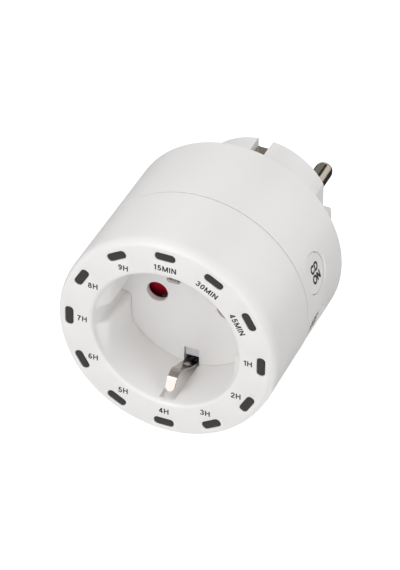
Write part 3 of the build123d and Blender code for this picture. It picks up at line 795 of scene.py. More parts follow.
class Graph:
    """A node tree that is written as calls."""

    def __init__(self, tree: bpy.types.NodeTree) -> None:
        """Start from an empty tree."""
        self.tree = tree
        tree.nodes.clear()

    def node(
        self,
        kind: str,
        inputs: dict[str | int, Wire | float | Sequence[float]] | None = None,
        output: str | int = 0,
        settings: dict[str, str] | None = None,
    ) -> Wire | None:
        """Add any node but a Math node.

        Args:
            kind: The node's type name.
            inputs: Values or wires by the name or number of the input.
            output: Which output to return.
            settings: Properties of the node, set first.

        Returns:
            The chosen output, or None where the node has none.
        """
        made = self.tree.nodes.new(kind)
        for key, value in (settings or {}).items():
            setattr(made, key, value)
        for key, value in (inputs or {}).items():
            if isinstance(value, Wire):
                self.tree.links.new(value.socket, made.inputs[key])
            else:
                made.inputs[key].default_value = value
        return Wire(self.tree, made.outputs[output]) if len(made.outputs) else None


class Paint:
    """Builds one procedural material from a finish.

    Broad and fine noise vary its shade and roughness, and the fine noise is its relief.
    """

    broad_size = 14.0
    broad_detail = 2.0
    fine_detail = 4.0
    broad_rough = 0.06
    fine_rough = 0.08
    least_rough = 0.03
    coat_rough = 0.12
    relief_height = 0.0001

    def __init__(self, finish: Finish) -> None:
        """Start an empty material.

        Args:
            finish: The finish that it gets.
        """
        self.finish = finish
        self.material = bpy.data.materials.new(finish.name)
        self.material.use_nodes = True
        self.graph = Graph(self.material.node_tree)

    def noise(self, size: float, detail: float, grain: Grain) -> Wire:
        """Add noise between 0 and 1.

        Args:
            size: Size of its features in millimetres.
            detail: How many finer layers it has.
            grain: How it is scaled along each axis.

        Returns:
            The noise.
        """
        place = self.graph.node("ShaderNodeTexCoord", output="Object")
        mapped = self.graph.node("ShaderNodeMapping", {"Vector": place, "Scale": grain.value})
        return self.graph.node(
            "ShaderNodeTexNoise", {"Vector": mapped, "Scale": 1 / (size * MM), "Detail": detail}
        )

    def build(self) -> bpy.types.Material:
        """Wire up the surface.

        Returns:
            The material.
        """
        finish = self.finish
        fine = self.noise(finish.grain_size, self.fine_detail, finish.grain)
        broad = self.noise(self.broad_size, self.broad_detail, Grain.EVEN)
        shade = 1.0 + (broad - 0.5) * (2 * finish.variation) + (fine - 0.5) * finish.variation
        colour = self.graph.node(
            "ShaderNodeVectorMath",
            {0: finish.colour, 1: shade},
            settings={"operation": "MULTIPLY"},
        )
        rough = finish.roughness + (broad - 0.5) * self.broad_rough
        rough += (fine - 0.5) * self.fine_rough
        bump = self.graph.node(
            "ShaderNodeBump",
            {"Height": fine, "Strength": finish.relief, "Distance": self.relief_height},
        )
        surface = self.graph.node(
            "ShaderNodeBsdfPrincipled",
            {
                "Base Color": colour,
                "Roughness": rough.limited(self.least_rough, 1.0),
                "Metallic": finish.metallic,
                "Specular IOR Level": finish.specular,
                "Coat Weight": finish.coat,
                "Coat Roughness": self.coat_rough,
                "Normal": bump,
            },
        )
        self.graph.node("ShaderNodeOutputMaterial", {"Surface": surface})
        return self.material


WHITE = Finish("white_shell", (0.88, 0.869, 0.86), 0.36, relief=0.06)
# The recess floor gets a lighter copy of the shell's white: painted light that makes up for the shade deep in the
# recess.
RECESS_WHITE_PAINTED_LIGHT = replace(WHITE, name="floor_white", colour=(0.93, 0.918, 0.908))
# A dark grey painted shade, for the ring that stands for the shadow in the joint between the shells.
PAINTED_SHADOW_GREY = Finish("joint_shade", (0.30, 0.295, 0.29), 0.7)
SMOKED = Finish("smoked_window", (0.014, 0.012, 0.011), 0.32, variation=0.08, specular=0.35)
NICKEL = Finish(
    "nickel", (0.43, 0.385, 0.32), 0.15, Grain.DRAWN, metallic=1.0, variation=0.06, relief=0.1
)
CLIP_NICKEL = replace(NICKEL, name="clip_nickel", colour=(0.42, 0.378, 0.355), roughness=0.17)
INK = Finish("black_ink", (0.022, 0.021, 0.021), 0.55, variation=0.05, specular=0.3)

SLOT_FINISHES = {
    "white_plastic": WHITE,
    "button_plastic": WHITE,
    "smoked_lens": SMOKED,
    "black_plastic": Finish("black_plastic", (0.02, 0.02, 0.022), 0.5),
    "shutter_red": Finish("shutter_red", (0.40, 0.006, 0.018), 0.3, variation=0.1, specular=0.3),
    "carrier_plastic": Finish("carrier_plastic", (0.74, 0.76, 0.80), 0.4),
    "circuit_board": Finish("circuit_board", (0.02, 0.16, 0.06), 0.35, coat=0.3),
    "led_white": Finish("led_white", (0.75, 0.72, 0.55), 0.4),
    "ribbon_grey": Finish("ribbon_grey", (0.35, 0.35, 0.37), 0.55, Grain.DRAWN),
    "spring_steel": Finish("spring_steel", (0.6, 0.6, 0.6), 0.25, Grain.DRAWN, metallic=1.0),
    "contact_brass": Finish("contact_brass", (0.72, 0.5, 0.2), 0.25, Grain.DRAWN, metallic=1.0),
    "nickel_plate": NICKEL,
    "screw_zinc": Finish("screw_zinc", (0.5, 0.5, 0.52), 0.32, metallic=1.0),
    "relay_case": Finish("relay_case", (0.02, 0.1, 0.35), 0.4),
    "film_case": Finish("film_case", (0.6, 0.36, 0.03), 0.4),
    "can_aluminium": Finish("can_aluminium", (0.6, 0.6, 0.62), 0.3, Grain.DRAWN, metallic=1.0),
    "varistor_coat": Finish("varistor_coat", (0.03, 0.08, 0.3), 0.45),
    "chip_black": Finish("chip_black", (0.018, 0.018, 0.018), 0.5),
}


class Palette(dict[Finish, bpy.types.Material]):
    """The materials by their finishes, each made once."""

    def __missing__(self, finish: Finish) -> bpy.types.Material:
        """Make, keep and return the material of a finish."""
        self[finish] = Paint(finish).build()
        return self[finish]


# ------------------------------------------------------------------------------ pieces
@dataclass
class Part:
    """Something that adds dressed pieces to the frame, painted from a palette."""

    palette: Palette

    def build(self) -> None:
        """Make the pieces, which each kind of part does in its own way."""
        raise NotImplementedError

    def seat(
        self,
        piece: bpy.types.Object,
        finish: Finish,
        body: str,
        slot: str,
        replaces: Sequence[str] = (),
    ) -> None:
        """Paint a piece and tie it to the frame.

        Args:
            piece: The piece, in place.
            finish: Its finish.
            body: The CAD body that it rides on.
            slot: The record's material slot.
            replaces: CAD nodes that it stands for.
        """
        piece.data.materials.clear()
        piece.data.materials.append(self.palette[finish])
        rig.ride(piece, body)
        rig.slot(piece, slot)
        if replaces:
            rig.replaces(piece, *replaces)
        LOG.info("%s rides on %s with finish %s", piece.name, body, finish.name)


@dataclass
class FrontShell(Part):
    """The front shell: face, rounded edge, side, recess walls and windows."""

    housing: Housing
    recess: Recess
    windows: Windows

    def build(self) -> None:
        """Make the shell, a painted shadow at the bottom of its joint, and the windows."""
        self.shell()
        self.seam_line()
        self.pads()

    def window_loops(self, shrink: float = 0.0) -> list[Array]:
        """Outline the windows.

        Args:
            shrink: How much smaller than its opening each outline is all round.

        Returns:
            One closed outline for each label.
        """
        sizes = self.windows
        shape = rounded_rectangle(
            sizes.across - 2 * shrink, sizes.along - 2 * shrink, sizes.corner - shrink
        )
        frames = [clock_frame(clock) for clock, _ in sizes.labels]
        return [shape @ axes + sizes.circle * axes[0] for axes in frames]

    def shell(self) -> None:
        """Make the shell: side, face, window openings, lip and recess walls in turn."""
        h, r, w = self.housing, self.recess, self.windows
        sheet = Sheet()
        face_edge = h.radius - h.round_across
        seam_radius = float(h.radius_at(h.seam))
        seam = h.seam - h.seam_gap / 2
        side = np.vstack(
            [
                quarter_round(
                    (face_edge, h.face), (h.radius, h.front + h.round_along), (h.radius, h.face)
                ),
                [(h.radius_at(y), y) for y in np.linspace(h.side_start, seam - h.seam_chamfer, 8)],
                [(seam_radius - h.seam_chamfer, seam), (seam_radius - h.seam_depth, seam)],
            ]
        )
        sheet.loft(lathe_rings(side), from_point((0, h.seam, 0)))
        plain = recess_outline(r, 0.0, False)
        lip_end = plain * ((r.radius + r.lip) / r.radius)
        mouths = self.window_loops(-w.opening_edge)
        sheet.region([circle(face_edge), lip_end, *mouths], on_plane(h.face), FRONTWARDS)
        share, rise = w.opening_bend
        for wide, opening in zip(mouths, self.window_loops()):
            middle = opening.mean(axis=0)
            walls = [
                at_station(wide, h.face),
                at_station(wide + (opening - wide) * share, h.face + rise * w.opening_edge),
                at_station(opening, h.face + w.opening_edge),
                at_station(opening, h.face + w.opening_depth),
            ]
            sheet.loft(walls, to_point((middle[0], h.front, middle[1])))
        lip = quarter_round(
            (r.radius + r.lip, h.face), (r.radius, h.front + r.lip), (r.radius, h.face)
        )
        inwards = to_point((0, h.front, 0))
        sheet.loft([at_station(plain * (radius / r.radius), y) for radius, y in lip], inwards)
        levels = [(r.lip, 0.0, False), (r.earth_start, 0.0, False), (r.earth_start, 0.0, True)]
        levels += [(depth, share, True) for depth, share in r.rail_rise]
        levels += [(r.depth, 1.0, True), (r.depth + r.behind_floor, 1.0, True)]
        walls = [
            at_station(recess_outline(r, share, groove), h.front + depth)
            for depth, share, groove in levels
        ]
        sheet.loft(walls, inwards)
        self.seat(sheet.build("front_housing"), WHITE, "housing", "white_plastic", ["front_shell"])

    def seam_line(self) -> None:
        """Make a dark grey ring at the bottom of the joint between the two shells, painted shade that stands for the
        shadow in the gap.
        """
        h = self.housing
        radius = float(h.radius_at(h.seam)) - h.painted_seam_shadow_depth
        half = h.seam_gap / 2
        sheet = Sheet()
        profile = np.array([(radius, h.seam - half), (radius, h.seam + half)])
        sheet.loft(lathe_rings(profile), from_point((0, h.seam, 0)))
        self.seat(sheet.build("seam_line"), PAINTED_SHADOW_GREY, "housing", "white_plastic")

    def pads(self) -> None:
        """Make the smoked windows, each slightly crowned with a soft edge."""
        w = self.windows
        sheet = Sheet()
        rings = [
            (self.window_loops(w.gap + inset), self.housing.front + depth)
            for inset, depth in w.crown
        ]
        back = rings[0][1]
        for index in range(len(w.labels)):
            walls = [at_station(loops[index], y) for loops, y in rings]
            middle = rings[0][0][index].mean(axis=0)
            sheet.loft(walls, from_point((middle[0], back, middle[1])))
            sheet.region([rings[-1][0][index]], on_plane(rings[-1][1]), FRONTWARDS)
        self.seat(sheet.build("light_windows"), SMOKED, "housing", "smoked_lens", ["lens_ring"])


@dataclass
class SocketFloor(Part):
    """The floor of the recess with its pin holes and clip slots, and what shows in them."""

    housing: Housing
    recess: Recess
    shutter: Shutter

    def build(self) -> None:
        """Make the floor, the carrier's blocks and the shutter's edges."""
        self.floor()
        self.keys()
        self.shutter_edges()

    def outline(self, gap: float) -> Array:
        """Outline the floor with its clip slots.

        Args:
            gap: How far it keeps clear of the recess walls.

        Returns:
            A closed outline whose points match those of every other gap.
        """
        r = self.recess
        slot = r.clip_slot_half_width
        wall = rail_quarter(r, gap, math.acos(slot / (r.radius - gap)))
        notch = [(slot, r.clip_slot_inner), (0.0, r.clip_slot_inner)]
        return four_quarters(np.vstack([wall, notch]))

    def floor(self) -> None:
        """Make the floor: top, outer side and pin holes in turn."""
        r = self.recess
        top = self.housing.front + r.depth
        back = top + r.floor_thickness
        sheet = Sheet()
        outer, side = self.outline(r.floor_gap + r.floor_edge), self.outline(r.floor_gap)
        centres = [(-PIN_DISTANCE, 0.0), (PIN_DISTANCE, 0.0)]
        wide = r.pin_hole + r.pin_hole_edge
        mouths = [circle(wide, 96, centre) for centre in centres]
        sheet.region([outer, *mouths], on_plane(top), FRONTWARDS)
        walls = [at_station(outer, top), at_station(side, top + r.floor_edge)]
        sheet.loft([*walls, at_station(side, back)], from_point((0, back, 0)))
        edge = quarter_round((wide, top), (r.pin_hole, top + r.pin_hole_edge), (r.pin_hole, top))
        profile = [*edge, (r.pin_hole, back)]
        for centre in centres:
            rings = [at_station(circle(radius, 96, centre), y) for radius, y in profile]
            sheet.loft(rings, to_point((centre[0], top, centre[1])))
        piece = sheet.build("recess_floor")
        # The floor is painted lighter than the shell, to make up for the shade in the recess.
        self.seat(piece, RECESS_WHITE_PAINTED_LIGHT, "housing", "white_plastic", ["socket_floor"])

    def keys(self) -> None:
        """Make the two blocks of the contact carrier that stand in the clip slots."""
        r = self.recess
        low, high = r.key_reach
        front, back = (self.housing.front + depth for depth in r.key_depths)
        small, full = (
            rounded_rectangle(
                2 * (r.key_half_width - inset), high - low - 2 * inset, r.key_corner - inset
            )
            for inset in (r.key_edge, 0.0)
        )
        for level, name in ((1, "upper"), (-1, "lower")):
            centre = np.array([0.0, level * (low + high) / 2])
            end, wall = small + centre, full + centre
            sheet = Sheet()
            sheet.region([end], on_plane(front), FRONTWARDS)
            rings = [at_station(end, front), at_station(wall, front + r.key_edge)]
            sheet.loft([*rings, at_station(wall, back)], from_point((0, back, centre[1])))
            finish = SLOT_FINISHES["carrier_plastic"]
            self.seat(sheet.build("carrier_key_" + name), finish, "housing", "carrier_plastic")

    def shutter_edges(self) -> None:
        """Make the thin low edges that end the shutter's two wings."""
        s = self.shutter
        turns = np.radians(np.linspace(s.start, s.end, 6))
        for turn, name in ((0.0, "right"), (np.pi, "left")):
            inner = arc(s.hub, turns[0] + turn, turns[-1] + turn, 6)
            outer = arc(s.reach, turns[-1] + turn, turns[0] + turn, 6)
            outline = np.vstack([inner, outer])
            x, z = outline.mean(axis=0)
            sheet = Sheet()
            sheet.region([outline], on_plane(s.front), FRONTWARDS)
            sheet.region([outline], on_plane(s.back), BACKWARDS)
            rings = [at_station(outline, s.front), at_station(outline, s.back)]
            sheet.loft(rings, from_point((x, (s.front + s.back) / 2, z)))
            finish = SLOT_FINISHES["shutter_red"]
            self.seat(sheet.build("shutter_edge_" + name), finish, "shutter", "shutter_red")


@dataclass
class RearShell(Part):
    """The rear shell: side wall with button holes, shoulder and plug nose.

    The wall round the button holes, the hole field in degrees on the clock, is filled on a
    plane where a degree has its rounded length.
    """

    housing: Housing
    nose: Nose
    buttons: Buttons
    hole_field: tuple[int, int] = (54, 126)
    degree_length: float = 0.5
    grid_start: float = 1.5
    grid_end: float = 1.0
    grid_step: float = 1.8
    grid_clearance: float = 0.4

    def on_wall(self, points: Array) -> Array:
        """Wrap points on to the drafted side wall.

        Args:
            points: Points as (degrees on the clock, station).

        Returns:
            Points in space.
        """
        turn = np.radians(points[:, 0])
        radius = self.housing.radius_at(points[:, 1])
        return np.column_stack([radius * np.sin(turn), points[:, 1], radius * np.cos(turn)])

    def hole_loop(self, clock: float, radius: float) -> Array:
        """Outline a round button hole on the unrolled wall.

        Args:
            clock: Clock angle of its middle.
            radius: Its radius.

        Returns:
            Points as (degrees on the clock, station).
        """
        across, y = circle(radius, 120, (0.0, self.buttons.station)).T
        turns = np.degrees(np.arcsin(across / self.housing.radius_at(y)))
        return np.column_stack([clock + turns, y])

    def add_wall(self, sheet: Sheet, start: float, end: float) -> None:
        """Add the side wall, with the button holes in it.

        Args:
            sheet: The mesh of the shell.
            start: Station of the wall's front end.
            end: Station of its rear end.
        """
        b = self.buttons
        clocks = (b.upper, b.lower)
        low, high = self.hole_field
        columns = np.arange(low, high + 1.0)
        outer = np.vstack(
            [
                np.column_stack([columns, np.full(len(columns), start)]),
                np.column_stack([columns[::-1], np.full(len(columns), end)]),
            ]
        )
        wide = b.hole_radius + b.hole_edge
        holes = [self.hole_loop(clock, wide) for clock in clocks]
        stations = np.arange(start + self.grid_start, end - self.grid_end, self.grid_step)
        turn, y = np.meshgrid(columns[1:-1], stations)
        grid = np.column_stack([turn.ravel(), y.ravel()])
        for clock in clocks:
            near = np.hypot((grid[:, 0] - clock) * self.degree_length, grid[:, 1] - b.station)
            grid = grid[near > wide + self.grid_clearance]
        squash = np.array([self.degree_length, 1.0])
        outwards = from_point((0, b.station, 0))
        sheet.region(
            [outer * squash, *[hole * squash for hole in holes]],
            lambda points: self.on_wall(points / squash),
            outwards,
            grid * squash,
        )
        others = np.arange(high, low + 361.0) % 360
        rows = [np.column_stack([others, np.full(len(others), y)]) for y in (start, end)]
        sheet.strip([self.on_wall(row) for row in rows], outwards)
        rim = circle(b.hole_radius, 120)
        surface = np.sqrt(self.housing.radius_at(b.station) ** 2 - rim[:, 0] ** 2)
        for clock, hole in zip(clocks, holes):
            rings = [
                self.on_wall(hole),
                out_at(rim, clock, b.station, surface - b.hole_edge),
                out_at(rim, clock, b.station, b.flange_top + b.flange_gap),
            ]
            x, z = clock_frame(clock)[0] * self.housing.radius
            sheet.loft(rings, to_point((x, b.station, z)))

    def add_nose(self, sheet: Sheet) -> None:
        """Add the plug's nose, with the holes that the pins' collars fill.

        Args:
            sheet: The mesh of the shell.
        """
        h, n = self.housing, self.nose
        end = n.radius - n.draft
        edge = quarter_round((end, -n.edge), (end - n.edge, 0.0), (end, 0.0))
        rings = [at_station(nose_outline(n, n.radius), h.shoulder)]
        rings += [at_station(nose_outline(n, radius), y) for radius, y in edge]
        sheet.loft(rings, from_point((0, h.shoulder, 0)))
        hole = n.collar_radius + n.collar_gap
        holes = [circle(hole, 64, (side * PIN_DISTANCE, 0.0)) for side in (-1, 1)]
        sheet.region([nose_outline(n, end - n.edge), *holes], on_plane(0.0), BACKWARDS)

    def build(self) -> None:
        """Make the shell: joint, side wall, rear edge, shoulder, screw holes and nose in turn."""
        h, n = self.housing, self.nose
        sheet = Sheet()
        seam_radius = float(h.radius_at(h.seam))
        rear_radius = h.radius - h.draft
        start = h.seam + h.seam_gap / 2
        wall_start, wall_end = start + h.seam_chamfer, h.shoulder - h.rear_round
        root_radius = seam_radius - h.seam_depth
        seam = [
            (root_radius, h.seam - h.seam_root),
            (root_radius, start),
            (seam_radius - h.seam_chamfer, start),
            (float(h.radius_at(wall_start)), wall_start),
        ]
        sheet.loft(lathe_rings(np.array(seam)), from_point((0, h.shoulder, 0)))
        self.add_wall(sheet, wall_start, wall_end)
        rear = quarter_round(
            (float(h.radius_at(wall_end)), wall_end),
            (rear_radius - h.rear_round, h.shoulder),
            (rear_radius, h.shoulder),
        )
        sheet.loft(lathe_rings(rear), from_point((0, h.seam, 0)))
        distance = h.screw_circle / math.sqrt(2)
        screws = [
            circle(h.screw_radius, 48, (sx * distance, sz * distance))
            for sx in (-1, 1)
            for sz in (-1, 1)
        ]
        loops = [circle(rear_radius - h.rear_round), nose_outline(n, n.radius), *screws]
        sheet.region(loops, on_plane(h.shoulder), BACKWARDS)
        for screw in screws:
            x, z = screw.mean(axis=0)
            walls = [at_station(screw, y) for y in (h.shoulder, h.shoulder - h.screw_depth)]
            sheet.loft(walls, to_point((x, h.shoulder, z)))
        self.add_nose(sheet)
        self.seat(sheet.build("rear_housing"), WHITE, "housing", "white_plastic", ["rear_shell"])


@dataclass
class Pins(Part):
    """The two plug pins."""

    nose: Nose

    def build(self) -> None:
        """Make both pins, each a turned profile."""
        n = self.nose
        profile = [
            (n.collar_radius, -n.collar_back),
            (n.collar_radius, 0.0),
            *[(n.pin_radius + beyond, y) for beyond, y in n.pin_foot],
            *quarter_round(
                (n.pin_radius, n.pin_reach - n.pin_radius),
                (0.0, n.pin_reach),
                (n.pin_radius, n.pin_reach),
            ),
        ]
        for side, name in ((-1, "left"), (1, "right")):
            sheet = Sheet()
            centre = (side * PIN_DISTANCE, 0.0)
            rings = [at_station(circle(radius, 64, centre), y) for radius, y in profile]
            sheet.loft(rings, from_point((centre[0], 0.0, 0.0)))
            piece = sheet.build("pin_" + name)
            self.seat(piece, NICKEL, "housing", "nickel_plate", ["plug_pin_" + name])


@dataclass
class EarthClips(Part):
    """The two sprung earth clips in the recess, placed from the station of the front face."""

    clip: Clip
    front: float

    def centreline(self, lean: float) -> tuple[Array, Array, Array]:
        """Follow the strip's middle, with an arc at each bend.

        Args:
            lean: How far the clip leans inwards about its hinge, in degrees.

        Returns:
            Points as (depth, distance from the axis), their outward normals, and the length
            of strip up to each.
        """
        hinge = np.array(self.clip.hinge)
        turn = math.radians(lean)
        turned = np.array([[math.cos(turn), math.sin(turn)], [-math.sin(turn), math.cos(turn)]])
        nodes = np.array(self.clip.path, float)
        free = nodes[:, 0] < hinge[0]
        nodes[free] = (nodes[free] - hinge) @ turned + hinge
        points = [nodes[0]]
        for before, corner, after, radius in zip(nodes, nodes[1:], nodes[2:], self.clip.bends):
            back = (before - corner) / np.linalg.norm(before - corner)
            ahead = (after - corner) / np.linalg.norm(after - corner)
            half = math.acos(float(np.clip(back @ ahead, -1, 1))) / 2
            reach = radius / math.tan(half)
            inwards = (back + ahead) / np.linalg.norm(back + ahead)
            centre = corner + inwards * radius / math.sin(half)
            chord = np.linspace(corner + back * reach, corner + ahead * reach, 11) - centre
            points += list(centre + chord / np.linalg.norm(chord, axis=1)[:, None] * radius)
        points.append(nodes[-1])
        line = np.array(points)
        run = np.concatenate([[0], np.cumsum(np.linalg.norm(np.diff(line, axis=0), axis=1))])
        way = np.gradient(line, run, axis=0)
        way /= np.linalg.norm(way, axis=1)[:, None]
        return line, np.column_stack([-way[:, 1], way[:, 0]]), run

    def blank(self, length: float, eye: float, stations: Array) -> tuple[Array, Array, Array]:
        """Cut the flat strip, with a round tip and a hole.

        Args:
            length: Length of the strip.
            eye: Where the middle of the hole is along it.
            stations: Where along it each half width is reached.

        Returns:
            The outline, the hole and points inside for the bends, all as (across, along).
        """
        clip = self.clip
        halves = [half for _, half in clip.half_widths]
        tip = halves[0]
        along = np.linspace(tip, length, 70)
        right = np.column_stack([np.interp(along, stations, halves), along])
        end = arc(tip, np.pi, 2 * np.pi, 17)[1:-1] + (0.0, tip)
        outline = np.vstack([end, right, right[::-1] * (-1, 1)])
        middle = np.array([0.0, eye])
        hole = circle(1.0, 28) * (clip.eye_half_width, clip.eye_half_length) + middle
        across, along = np.meshgrid(
            np.linspace(-clip.grid_half_width, clip.grid_half_width, 18),
            np.arange(clip.grid_step, length - clip.grid_end, clip.grid_step),
        )
        grid = np.column_stack([across.ravel(), along.ravel()])
        wide_hole = (hole - middle) * clip.grid_round_eye + middle
        return outline, hole, grid[inside(grid, [outline * (clip.grid_inside, 1.0), wide_hole])]

    def bent(
        self,
        points: Array,
        side: int,
        level: int,
        path: tuple[Array, Array, Array],
        rib: Sequence[float],
    ) -> Array:
        """Bend flat points into a face of a clip, with the pressed rib in its inner face.

        Args:
            points: Points as (across, along) the strip.
            side: 1 for the outer face and -1 for the inner one.
            level: 1 for the upper clip and -1 for the lower one.
            path: The strip's middle, as centreline gives it.
            rib: Where along the strip the rib starts and ends.

        Returns:
            Points in space.
        """
        clip = self.clip
        line, normal, run = path
        across, along = points.T
        depth, reach = (np.interp(along, run, line[:, axis]) for axis in (0, 1))
        out = [np.interp(along, run, normal[:, axis]) for axis in (0, 1)]
        off = np.full(len(points), side * clip.thickness / 2)
        if side < 0:
            ends = np.minimum(along - rib[0], rib[1] - along)
            edge = np.minimum(clip.rib_half_width - np.abs(across), ends)
            off -= clip.rib_rise * np.clip(edge / clip.rib_edge, 0, 1)
        y = self.front + depth + off * out[0]
        return np.column_stack([across, y, level * (reach + off * out[1])])

    def build(self) -> None:
        """Make both clips, each a bent strip cut from a flat outline."""
        clip = self.clip
        line, _, run = self.centreline(0.0)
        stations = np.interp([depth for depth, _ in clip.half_widths], line[:, 0], run)
        eye, *rib = np.interp([clip.eye_depth, *clip.rib_depths], line[:, 0], run)
        for level, name, lean in ((1, "upper", clip.upper_lean), (-1, "lower", 0.0)):
            path = self.centreline(lean)
            length = path[2][-1]
            outline, hole, grid = self.blank(length, eye, stations)
            place = partial(self.bent, level=level, path=path, rib=rib)
            sheet = Sheet()
            for side in (1, -1):
                facing = towards((0, 0, side * level))
                sheet.region([outline, hole], partial(place, side=side), facing, grid)
            middle, eye_middle = place(np.array([(0.0, length / 2), (0.0, eye)]), side=1)
            sheet.loft([place(outline, side=side) for side in (1, -1)], from_point(middle))
            sheet.loft([place(hole, side=side) for side in (1, -1)], to_point(eye_middle))
            body = "earth_clip_" + name
            self.seat(sheet.build("clip_" + name), CLIP_NICKEL, body, "nickel_plate", [body])


@dataclass(frozen=True)
class Stroke:
    """One line of a pen, through points of a unit-high character."""

    points: Pairs
    curved: bool = False
    closed: bool = False

    def loops(self, pen: float) -> list[Array]:
        """Outline the stroke.

        A curved stroke is a Catmull-Rom curve through the points: each piece is the cubic whose
        ends have half the chord of their neighbours as slopes.

        Args:
            pen: Width of the pen.

        Returns:
            One closed loop, or for a closed stroke its outer and inner loops.
        """
        points = np.array(self.points, float)
        if self.curved:
            if self.closed:
                padded = np.vstack([points[-1:], points, points[:2]])
            else:
                ends = (2 * points[0] - points[1], 2 * points[-1] - points[-2])
                padded = np.vstack([ends[0], points, ends[1]])
            a, b, c, d = padded[:-3], padded[1:-2], padded[2:-1], padded[3:]
            t = np.linspace(0, 1, 7)[:-1][:, None, None]
            cubic = (2 * a - 5 * b + 4 * c - d) * t**2 + (3 * b - a - 3 * c + d) * t**3
            curve = (0.5 * (2 * b + (c - a) * t + cubic)).transpose(1, 0, 2).reshape(-1, 2)
            points = curve if self.closed else np.vstack([curve, points[-1:]])
        if self.closed:
            way = np.roll(points, -1, axis=0) - np.roll(points, 1, axis=0)
        else:
            way = np.gradient(points, axis=0)
        way /= np.linalg.norm(way, axis=1)[:, None]
        side = np.column_stack([-way[:, 1], way[:, 0]]) * pen / 2
        if self.closed:
            return [points + side, points - side]
        return [np.vstack([points + side, (points - side)[::-1]])]


def oval(x: float, z: float, across: float, up: float) -> Stroke:
    """A closed oval stroke.

    Args:
        x: Centre, rightwards.
        z: Centre, upwards.
        across: Half its width.
        up: Half its height.

    Returns:
        The stroke.
    """
    points = circle(1.0, 12) * (across, up) + (x, z)
    return Stroke(tuple(map(tuple, points.tolist())), curved=True, closed=True)


def bar(x0: float, z0: float, x1: float, z1: float) -> Stroke:
    """Return a straight stroke."""
    return Stroke(((x0, z0), (x1, z1)))


def stem(x: float) -> Stroke:
    """Return an upright stroke of full height."""
    return bar(x, 0.0, x, 1.0)


def bend(*points: tuple[float, float]) -> Stroke:
    """Return a curved stroke."""
    return Stroke(points, curved=True)


PEN = 0.2
BOLD_PEN = 0.27
TWO_NECK = bend(
    (0.085, 0.68), (0.14, 0.85), (0.31, 0.915), (0.475, 0.85), (0.53, 0.69),
    (0.46, 0.53), (0.30, 0.38), (0.14, 0.22), (0.085, 0.085),
)
THREE_TOP = bend(
    (0.09, 0.74), (0.16, 0.87), (0.30, 0.915), (0.45, 0.86), (0.50, 0.73), (0.44, 0.59),
    (0.27, 0.535),
)
THREE_BOWL = bend(
    (0.27, 0.535), (0.45, 0.48), (0.53, 0.30), (0.46, 0.14), (0.30, 0.085), (0.14, 0.13),
    (0.08, 0.28),
)
FIVE_BOWL = bend(
    (0.13, 0.47), (0.30, 0.58), (0.46, 0.52), (0.535, 0.34), (0.47, 0.15), (0.30, 0.085),
    (0.14, 0.13), (0.08, 0.27),
)
SIX_STEM = bend(
    (0.50, 0.80), (0.43, 0.89), (0.31, 0.91), (0.17, 0.80), (0.10, 0.56), (0.095, 0.31)
)
SEVEN_STEM = bend((0.53, 0.92), (0.36, 0.62), (0.25, 0.30), (0.22, 0.0))
NINE_STEM = bend(
    (0.12, 0.20), (0.19, 0.11), (0.31, 0.09), (0.45, 0.20), (0.52, 0.44), (0.525, 0.69)
)
C_BOWL = bend(
    (0.74, 0.70), (0.64, 0.86), (0.45, 0.91), (0.22, 0.82), (0.09, 0.50), (0.22, 0.18),
    (0.45, 0.09), (0.64, 0.14), (0.74, 0.31),
)
D_BOWL = bend(
    (0.1, 0.9), (0.38, 0.9), (0.62, 0.78), (0.72, 0.50), (0.62, 0.22), (0.38, 0.1), (0.1, 0.1)
)
CHARACTERS: dict[str, tuple[float, tuple[Stroke, ...]]] = {
    "0": (0.62, (oval(0.31, 0.5, 0.225, 0.415),)),
    "1": (0.42, (stem(0.31), bar(0.04, 0.74, 0.33, 0.92))),
    "2": (0.62, (TWO_NECK, bar(0.01, 0.085, 0.61, 0.085))),
    "3": (0.62, (THREE_TOP, THREE_BOWL)),
    "4": (0.62, (stem(0.43), bar(0.0, 0.27, 0.62, 0.27), bar(0.05, 0.27, 0.41, 0.95))),
    "5": (0.62, (bar(0.13, 0.915, 0.56, 0.915), bar(0.19, 0.98, 0.13, 0.46), FIVE_BOWL)),
    "6": (0.62, (oval(0.31, 0.31, 0.215, 0.22), SIX_STEM)),
    "7": (0.62, (bar(0.03, 0.915, 0.60, 0.915), SEVEN_STEM)),
    "8": (0.62, (oval(0.31, 0.72, 0.175, 0.195), oval(0.31, 0.30, 0.225, 0.215))),
    "9": (0.62, (oval(0.31, 0.69, 0.215, 0.22), NINE_STEM)),
    "C": (0.82, (C_BOWL,)),
    "D": (0.82, (stem(0.1), D_BOWL)),
    "F": (0.64, (stem(0.085), bar(0.0, 0.915, 0.64, 0.915), bar(0.0, 0.5, 0.56, 0.5))),
    "H": (0.78, (stem(0.085), stem(0.695), bar(0.0, 0.53, 0.78, 0.53))),
    "I": (0.17, (stem(0.085),)),
    "M": (
        0.94,
        (stem(0.085), stem(0.855), bar(0.11, 0.95, 0.47, 0.06), bar(0.47, 0.06, 0.83, 0.95)),
    ),
    "N": (0.77, (stem(0.085), stem(0.685), bar(0.11, 0.94, 0.66, 0.06))),
    "O": (0.94, (oval(0.47, 0.5, 0.385, 0.415),)),
}


@dataclass(frozen=True)
class Spot:
    """A flat place for print: its middle, and its rightward, upward and outward directions."""

    middle: Array
    right: Array
    up: Array
    out: Array

    def place(self, points: Array) -> Array:
        """Carry flat points to the place."""
        return self.middle + points[:, :1] * self.right + points[:, 1:] * self.up


